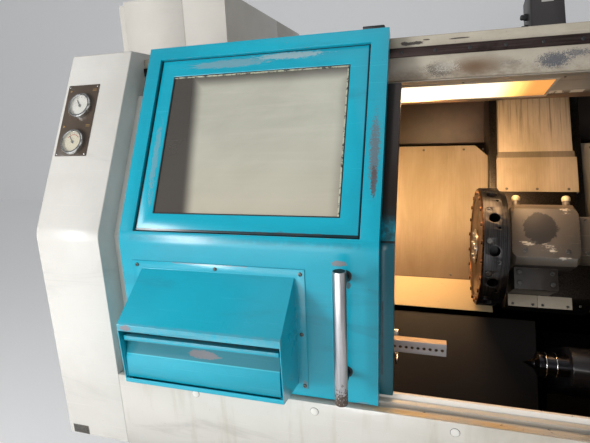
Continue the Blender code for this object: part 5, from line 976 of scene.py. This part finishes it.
def fit_turret():
    """Wedge screws and socket floors in the disc, its hub cap, and the housing's unions, screws and end plates."""
    axis = slant_plane(DISC_X, TURRET_U, 0)

    def on_rim(degrees, along, radius, side):
        """A placing on the disc's rim, its Z radially outwards."""
        return axis @ turn(degrees, "X") @ Matrix.Translation((along, radius, side)) @ turn(-90, "X")

    angles = [-12.5 + 30 * i for i in range(12)]
    with Piece("wedge_screws", SCREW_LOOK, "turret") as wedges:
        for angle in angles:
            wedges.cap_screw(on_rim(angle, 0.017, 0.1612, -0.0255), 0.0070, 0.0042)
    with Piece("socket_floors", BLACK_LOOK, "turret") as floors:
        for angle in angles:
            floors.disc(0.0139, 0, 0.002, on_rim(angle, 0.029, 0.1195, 0), 20)
    seat = axis @ turn(-90, "Y")
    with Piece("turret_hub_cap", STEEL_LOOK, "turret") as hub:
        hub.cap(0.050, -0.001, 0.0020, 0.046, 0.0035, seat, 48)
        for i in range(6):
            hub.cap_screw(seat @ turn(60 * i + 30, "Z") @ Matrix.Translation((0.037, 0, 0.0034)), 0.0050, 0.0036)
        hub.cap(0.012, 0.0034, 0.0058, 0.0105, 0.0068, seat, 24)
    with Piece("hose_union_caps", plain("ivory_caps", "C9B993", 0.4), "cross") as top:
        for x in (0.333, 0.457):
            top.turned([(0.0092, -0.004), (0.0108, 0.0), (0.0108, 0.0060), (0.0080, 0.0105), (0.0030, 0.0125),
                        (0, 0.0125)], slant_plane(x, 0.4338, 0.064) @ turn(-90, "X"), 24)
    with Piece("turret_screws", SCREW_LOOK, "cross") as bolts:
        for spots_x, spots_u, n, radius, height in (((0.345, 0.445), (0.282,), HOUSING_N, 0.0060, 0.0018),
                                                    ((0.340, 0.420), (0.203, 0.233), 0.045, 0.0062, 0.0050),
                                                    ((0.493, 0.572), (0.286, 0.374), 0.082, 0.0034, 0.0026)):
            for u in spots_u:
                for x in spots_x:
                    bolts.cap_screw(slant_plane(x, u, n), radius, height)
    with Piece("slide_end_plates", PLATE_LOOK, "cross") as plates:
        for x0, x1 in ((0.328, 0.4042), (0.4050, 0.492)):
            plates.block((x0, 0.1535, -0.0604), (x1, 0.1875, END_PLATE_N), slant_plane(0, 0, 0), 0.0006)
    tops = [slant_plane(x, 0.1605, END_PLATE_N) for x in (0.340, 0.392, 0.417, 0.480)]
    cap_screws("end_plate_screws", tops + [slant_plane(0.512, 0.165, -0.0603)], 0.0036, 0.0024, "cross")


def fit_covers():
    """Screws along the way covers, wipers on the telescopic sheets, fixings on the tailstock and the motor."""
    radius, height = 0.0042, 0.0016
    for name, high_x, low_x in (("left", (-0.30, -0.20, -0.06, 0.08, 0.22, 0.285), (-0.30, -0.06, 0.18)),
                                ("right", (0.62, 0.76, 0.90, 1.05), (0.64, 0.84, 1.04))):
        spots = [(x, COVER_TOP_U) for x in high_x] + [(x, COVER_LOW_U) for x in low_x]
        seats = [slant_plane(x, u, COVER_N) for x, u in spots]
        dome_screws(f"way_cover_{name}_screws", seats, radius, height, "carriage")
    lower = [slant_plane(x, 0.5415, -0.1362) for x in (0.345, 0.435, 0.525)]
    dome_screws("lower_cover_screws", lower, radius, height, "cross")
    plane = slant_plane(0, 0, 0)
    for name, body, low, high in (
            ("middle_wiper", "middle_cover", (0.3212, 0.5605, -0.1436), (0.5488, 0.5640, -0.1398)),
            ("upper_wiper", "carriage", (0.3252, 0.5985, -0.1480), (0.5448, 0.6025, -0.1440))):
        with Piece(name, RUBBER_LOOK, body) as strip:
            strip.block(low, high, plane, 0.0008)
    with Piece("tailstock_bolts", SCREW_LOOK, "tailstock") as bolts:
        for x in (0.478, 0.617):
            for u in (-0.203, 0.088):
                bolts.hex_bolt(slant_plane(x, u, -0.2597), 0.0085, 0.0080)
    motor = [slant_plane(x, u, -0.145) for x in (0.455, 0.540) for u in (1.078, 1.352)]
    cap_screws("motor_screws", motor, 0.0045, 0.0036, "carriage")
    with Piece("motor_label", plain("bare_label_plate", "C9C6BE", 0.4, 0.2), "carriage") as label:
        label.block((0.478, 1.270, -0.1451), (0.517, 1.292, -0.1444), plane)
    with Piece("motor_glands", BLACK_LOOK, "carriage") as gland:
        for u in (1.20, 1.25):
            gland.turned([(0.013, 0), (0.013, 0.010), (0.010, 0.013), (0.010, 0.020), (0.007, 0.024), (0, 0.024)],
                         slant_plane(0.4402, u, -0.195) @ turn(-90, "Y"), 6)


def fit_chuck():
    """Bright rings on the live centre, counterbored screws on the chuck's face."""
    low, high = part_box("live_centre")
    radius = (high.y - low.y) / 2
    seat = Matrix.Translation((0, (low.y + high.y) / 2, (low.z + high.z) / 2)) @ turn(90, "Y")
    section = ((0.0002, 0), (0.0006, 0.0006), (0.0006, 0.0024), (0.0002, 0.0030), (-0.0010, 0.0030), (-0.0010, 0))
    with Piece("centre_rings", CHROME_LOOK, "centre") as bright:
        for x in (high.x - 0.0060, high.x - 0.0300):
            bright.turned([(radius + r, x + h) for r, h in section], seat, 40, True)
    seat = slant_plane(-0.0162, 0, 0) @ turn(90, "Y")
    angles = [30 + 60 * i + (12 if i % 2 else -12) for i in range(6)]
    bores = [seat @ turn(angle, "Z") @ Matrix.Translation((0.078, 0, 0)) for angle in angles]
    cap_screws("chuck_screws", bores, 0.0052, 0.0012, "spindle")


def louvres(matrix, width, count, pitch, name):
    """Pressed louvres: a column of slim hoods over dark slots."""
    half = width / 2
    rows = [(i - (count - 1) / 2) * pitch for i in range(count)]
    with Piece(name, CABINET_LOOK) as hoods:
        for v in rows:
            hoods.turned([(0.0001, -half), (0.0055, -half + 0.004), (0.0055, half - 0.004), (0.0001, half)],
                         matrix @ Matrix.Translation((0, v, -0.0015)) @ turn(90, "Y"), 12)
    with Piece(name + "_slots", BLACK_LOOK) as slots:
        for v in rows:
            slots.block((-half + 0.006, v - 0.0085, 0.0001), (half - 0.006, v - 0.0055, 0.0006), matrix)


def fit_cabinet():
    """Latches, hinges, lifting plugs and louvres of the switch cabinet."""
    for body, y in (("cabinet_front_leaf", 1.1735), ("cabinet_rear_leaf", 1.2265)):
        with Piece(body + "_latch", BLACK_LOOK, body) as latch:
            latch.block((-1.0622, y - 0.011, 0.083), (-1.0560, y + 0.011, 0.157), place(0, 0, 0), 0.0015)
            latch.block((-1.0690, y - 0.005, 0.090), (-1.0620, y + 0.005, 0.135), place(0, 0, 0), 0.0015)
    with Piece("cabinet_hinges", SCREW_LOOK) as hinges:
        for y in (0.7052, 1.6948):
            for z in (-0.655, 0.085, 0.825):
                hinges.disc(0.0048, 0, 0.070, place(-1.0405, y, z), 16)
    with Piece("lifting_plugs", SCREW_LOOK) as eyes:
        for x in (-0.985, -0.665):
            for y in (0.75, 1.65):
                eyes.cap(0.016, 0, 0.0035, 0.010, 0.0050, place(x, y, 1.090), 20)
    for name, z in (("top", 0.62), ("low", -0.62)):
        louvres(place(-0.825, 1.700, z, -90), 0.24, 7, 0.022, "cabinet_louvres_" + name)


def fit_base():
    """Service panels on the base, lock nuts on the feet, louvres and screws on the side and rear sheets."""
    spots = []
    with Piece("base_service_panels", BASE_LOOK) as panels:
        for x0, x1 in ((-0.50, 0.02), (0.12, 0.64), (0.74, 1.14)):
            panels.block((x0, -0.72, 0), (x1, -0.34, 0.0015), front_plane(0, 0, 0.020), 0.0005)
            spots += [(x, z) for x in (x0 + 0.018, (x0 + x1) / 2, x1 - 0.018) for z in (-0.702, -0.358)]
    dome_screws("base_panel_screws", [front_plane(x, z, 0.0185) for x, z in spots], 0.0060)
    with Piece("foot_lock_nuts", SCREW_LOOK) as nuts:
        for x in (-0.502, 1.140):
            for y in (0.035, 1.105):
                nuts.cap(0.024, 0, 0.012, 0.021, 0.0145, place(x, y, -0.9160), 6)
    louvres(place(RIGHT_END_X, 0.62, 0.10, 90, "Y") @ turn(90, "Z"), 0.26, 8, 0.024, "right_cover_louvres")
    louvres(place(0.93, 1.0947, 0.20, -90), 0.30, 6, 0.024, "right_rear_louvres")
    rear = [place(x, 1.098, z, -90) for x in (-0.59, -0.28, 0.0, 0.28, 0.585) for z in (-0.19, 0.30, 0.765)]
    dome_screws("rear_wall_screws", rear, 0.0050)
    roof = [place(x, y, 0.793) for x in (-0.66, -0.35, -0.03) for y in (0.36, 0.72, 1.07)]
    dome_screws("roof_screws", roof, 0.0050)
    side = [(y, -0.19) for y in (0.14, 0.60, 1.07)] + [(y, 0.78) for y in (0.50, 0.80, 1.07)]
    dome_screws("right_cover_screws", [place(RIGHT_END_X, y, z, 90, "Y") for y, z in side], 0.0050)
    lower = [front_plane(x, -0.205, APRON_Y) for x in (0.640, 0.930, 1.235)]
    dome_screws("right_cover_front_screws", lower, 0.0045)


# Stage, light and camera

def make_stage():
    """A floor and wall whose paleness to the camera and in reflections is their own, not light on the object."""
    look = Look("studio_floor", (0.86, 0.86, 0.86))
    ray = look.node("LightPath").outputs
    seen = look.plus(ray["Is Camera Ray"], look.plus(ray["Is Glossy Ray"], ray["Is Transmission Ray"]), clamp=True)
    look.done(rough=0.9, glow=(0.97, 0.985, 1.0), glow_power=look.times(seen, 0.20))
    size, depth = 14.0, 6.0
    floor = bpy.data.meshes.new("studio_floor")
    floor.from_pydata([(-size, -size, 0), (size, -size, 0), (size, depth, 0), (-size, depth, 0),
                       (-size, depth, size), (size, depth, size)], [], [(0, 1, 2, 3), (3, 2, 5, 4)])
    obj = bpy.data.objects.new("studio_floor", floor)
    bpy.context.scene.collection.objects.link(obj)
    floor.materials.append(look.material)


def area_light(name, spot, target, size, power, colour=(1, 1, 1)):
    data = bpy.data.lights.new(name, "AREA")
    data.shape = "RECTANGLE"
    data.size, data.size_y = size
    data.energy = power
    data.color = colour
    obj = bpy.data.objects.new(name, data)
    bpy.context.scene.collection.objects.link(obj)
    obj.location = spot
    obj.rotation_euler = (Vector(target) - Vector(spot)).to_track_quat("-Z", "Y").to_euler()
    return obj


def make_lights():
    world = bpy.data.worlds.new("studio")
    bpy.context.scene.world = world
    world.use_nodes = True
    back = world.node_tree.nodes["Background"]
    back.inputs["Color"].default_value = (0.95, 0.97, 1.0, 1)
    back.inputs["Strength"].default_value = 0.26
    middle = at(-0.1, 0.1, 0.4)
    area_light("window", at(-2.6, -2.7, 0.7), at(-0.4, 0.0, 0.3), (0.8, 1.6), 90, (0.97, 0.98, 1.0))
    area_light("key", at(-0.9, -3.8, 0.25), middle, (2.8, 1.6), 46, (1.0, 0.99, 0.97))
    area_light("fill", at(2.8, -2.6, 1.6), middle, (2.2, 2.2), 11, (0.95, 0.97, 1.0))
    area_light("top", at(0.2, -0.4, 3.2), middle, (3.0, 2.4), 12)
    low, high = PANE_LOW, PANE_HIGH
    under = ((low.y + high.y) / 2, low.z - 0.02)
    for lamp in (area_light("work_light", (low.x + 0.10, *under), (low.x + 0.06, high.y + 0.16, low.z - 0.5),
                            (0.30, high.y - low.y), 6.0, (1.0, 0.60, 0.27)),
                 area_light("work_light_right", (high.x - 0.07, *under), (high.x, high.y + 0.05, low.z - 0.5),
                            (0.16, high.y - low.y), 1.4, (1.0, 0.60, 0.30))):
        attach(lamp, "frame")


def make_camera():
    """The photograph's viewpoint, from its vanishing points: yaw left, pitch down, roll."""
    yaw, pitch, roll = radians(16.70), radians(13.44), radians(-2.40)
    ahead = Vector((-sin(yaw) * cos(pitch), cos(yaw) * cos(pitch), -sin(pitch)))
    level = Vector((cos(yaw), sin(yaw), 0))
    upright = level.cross(ahead)
    right = level * cos(roll) + upright * sin(roll)
    up = upright * cos(roll) - level * sin(roll)
    data = bpy.data.cameras.new("photo_camera")
    data.sensor_width = 36.0
    data.lens = 27.0
    data.clip_start = 0.02
    obj = bpy.data.objects.new("photo_camera", data)
    bpy.context.scene.collection.objects.link(obj)
    obj.matrix_world = place(0.0878, -0.8836, 0.6434) @ Matrix((right, up, -ahead)).transposed().to_4x4()
    bpy.context.scene.camera = obj


dress_cad()
fit_door()
fit_beam()
fit_gauges()
fit_control_panel()
fit_turret()
fit_covers()
fit_chuck()
fit_cabinet()
fit_base()
make_stage()
make_lights()
make_camera()
bpy.context.scene.view_settings.view_transform = "Standard"
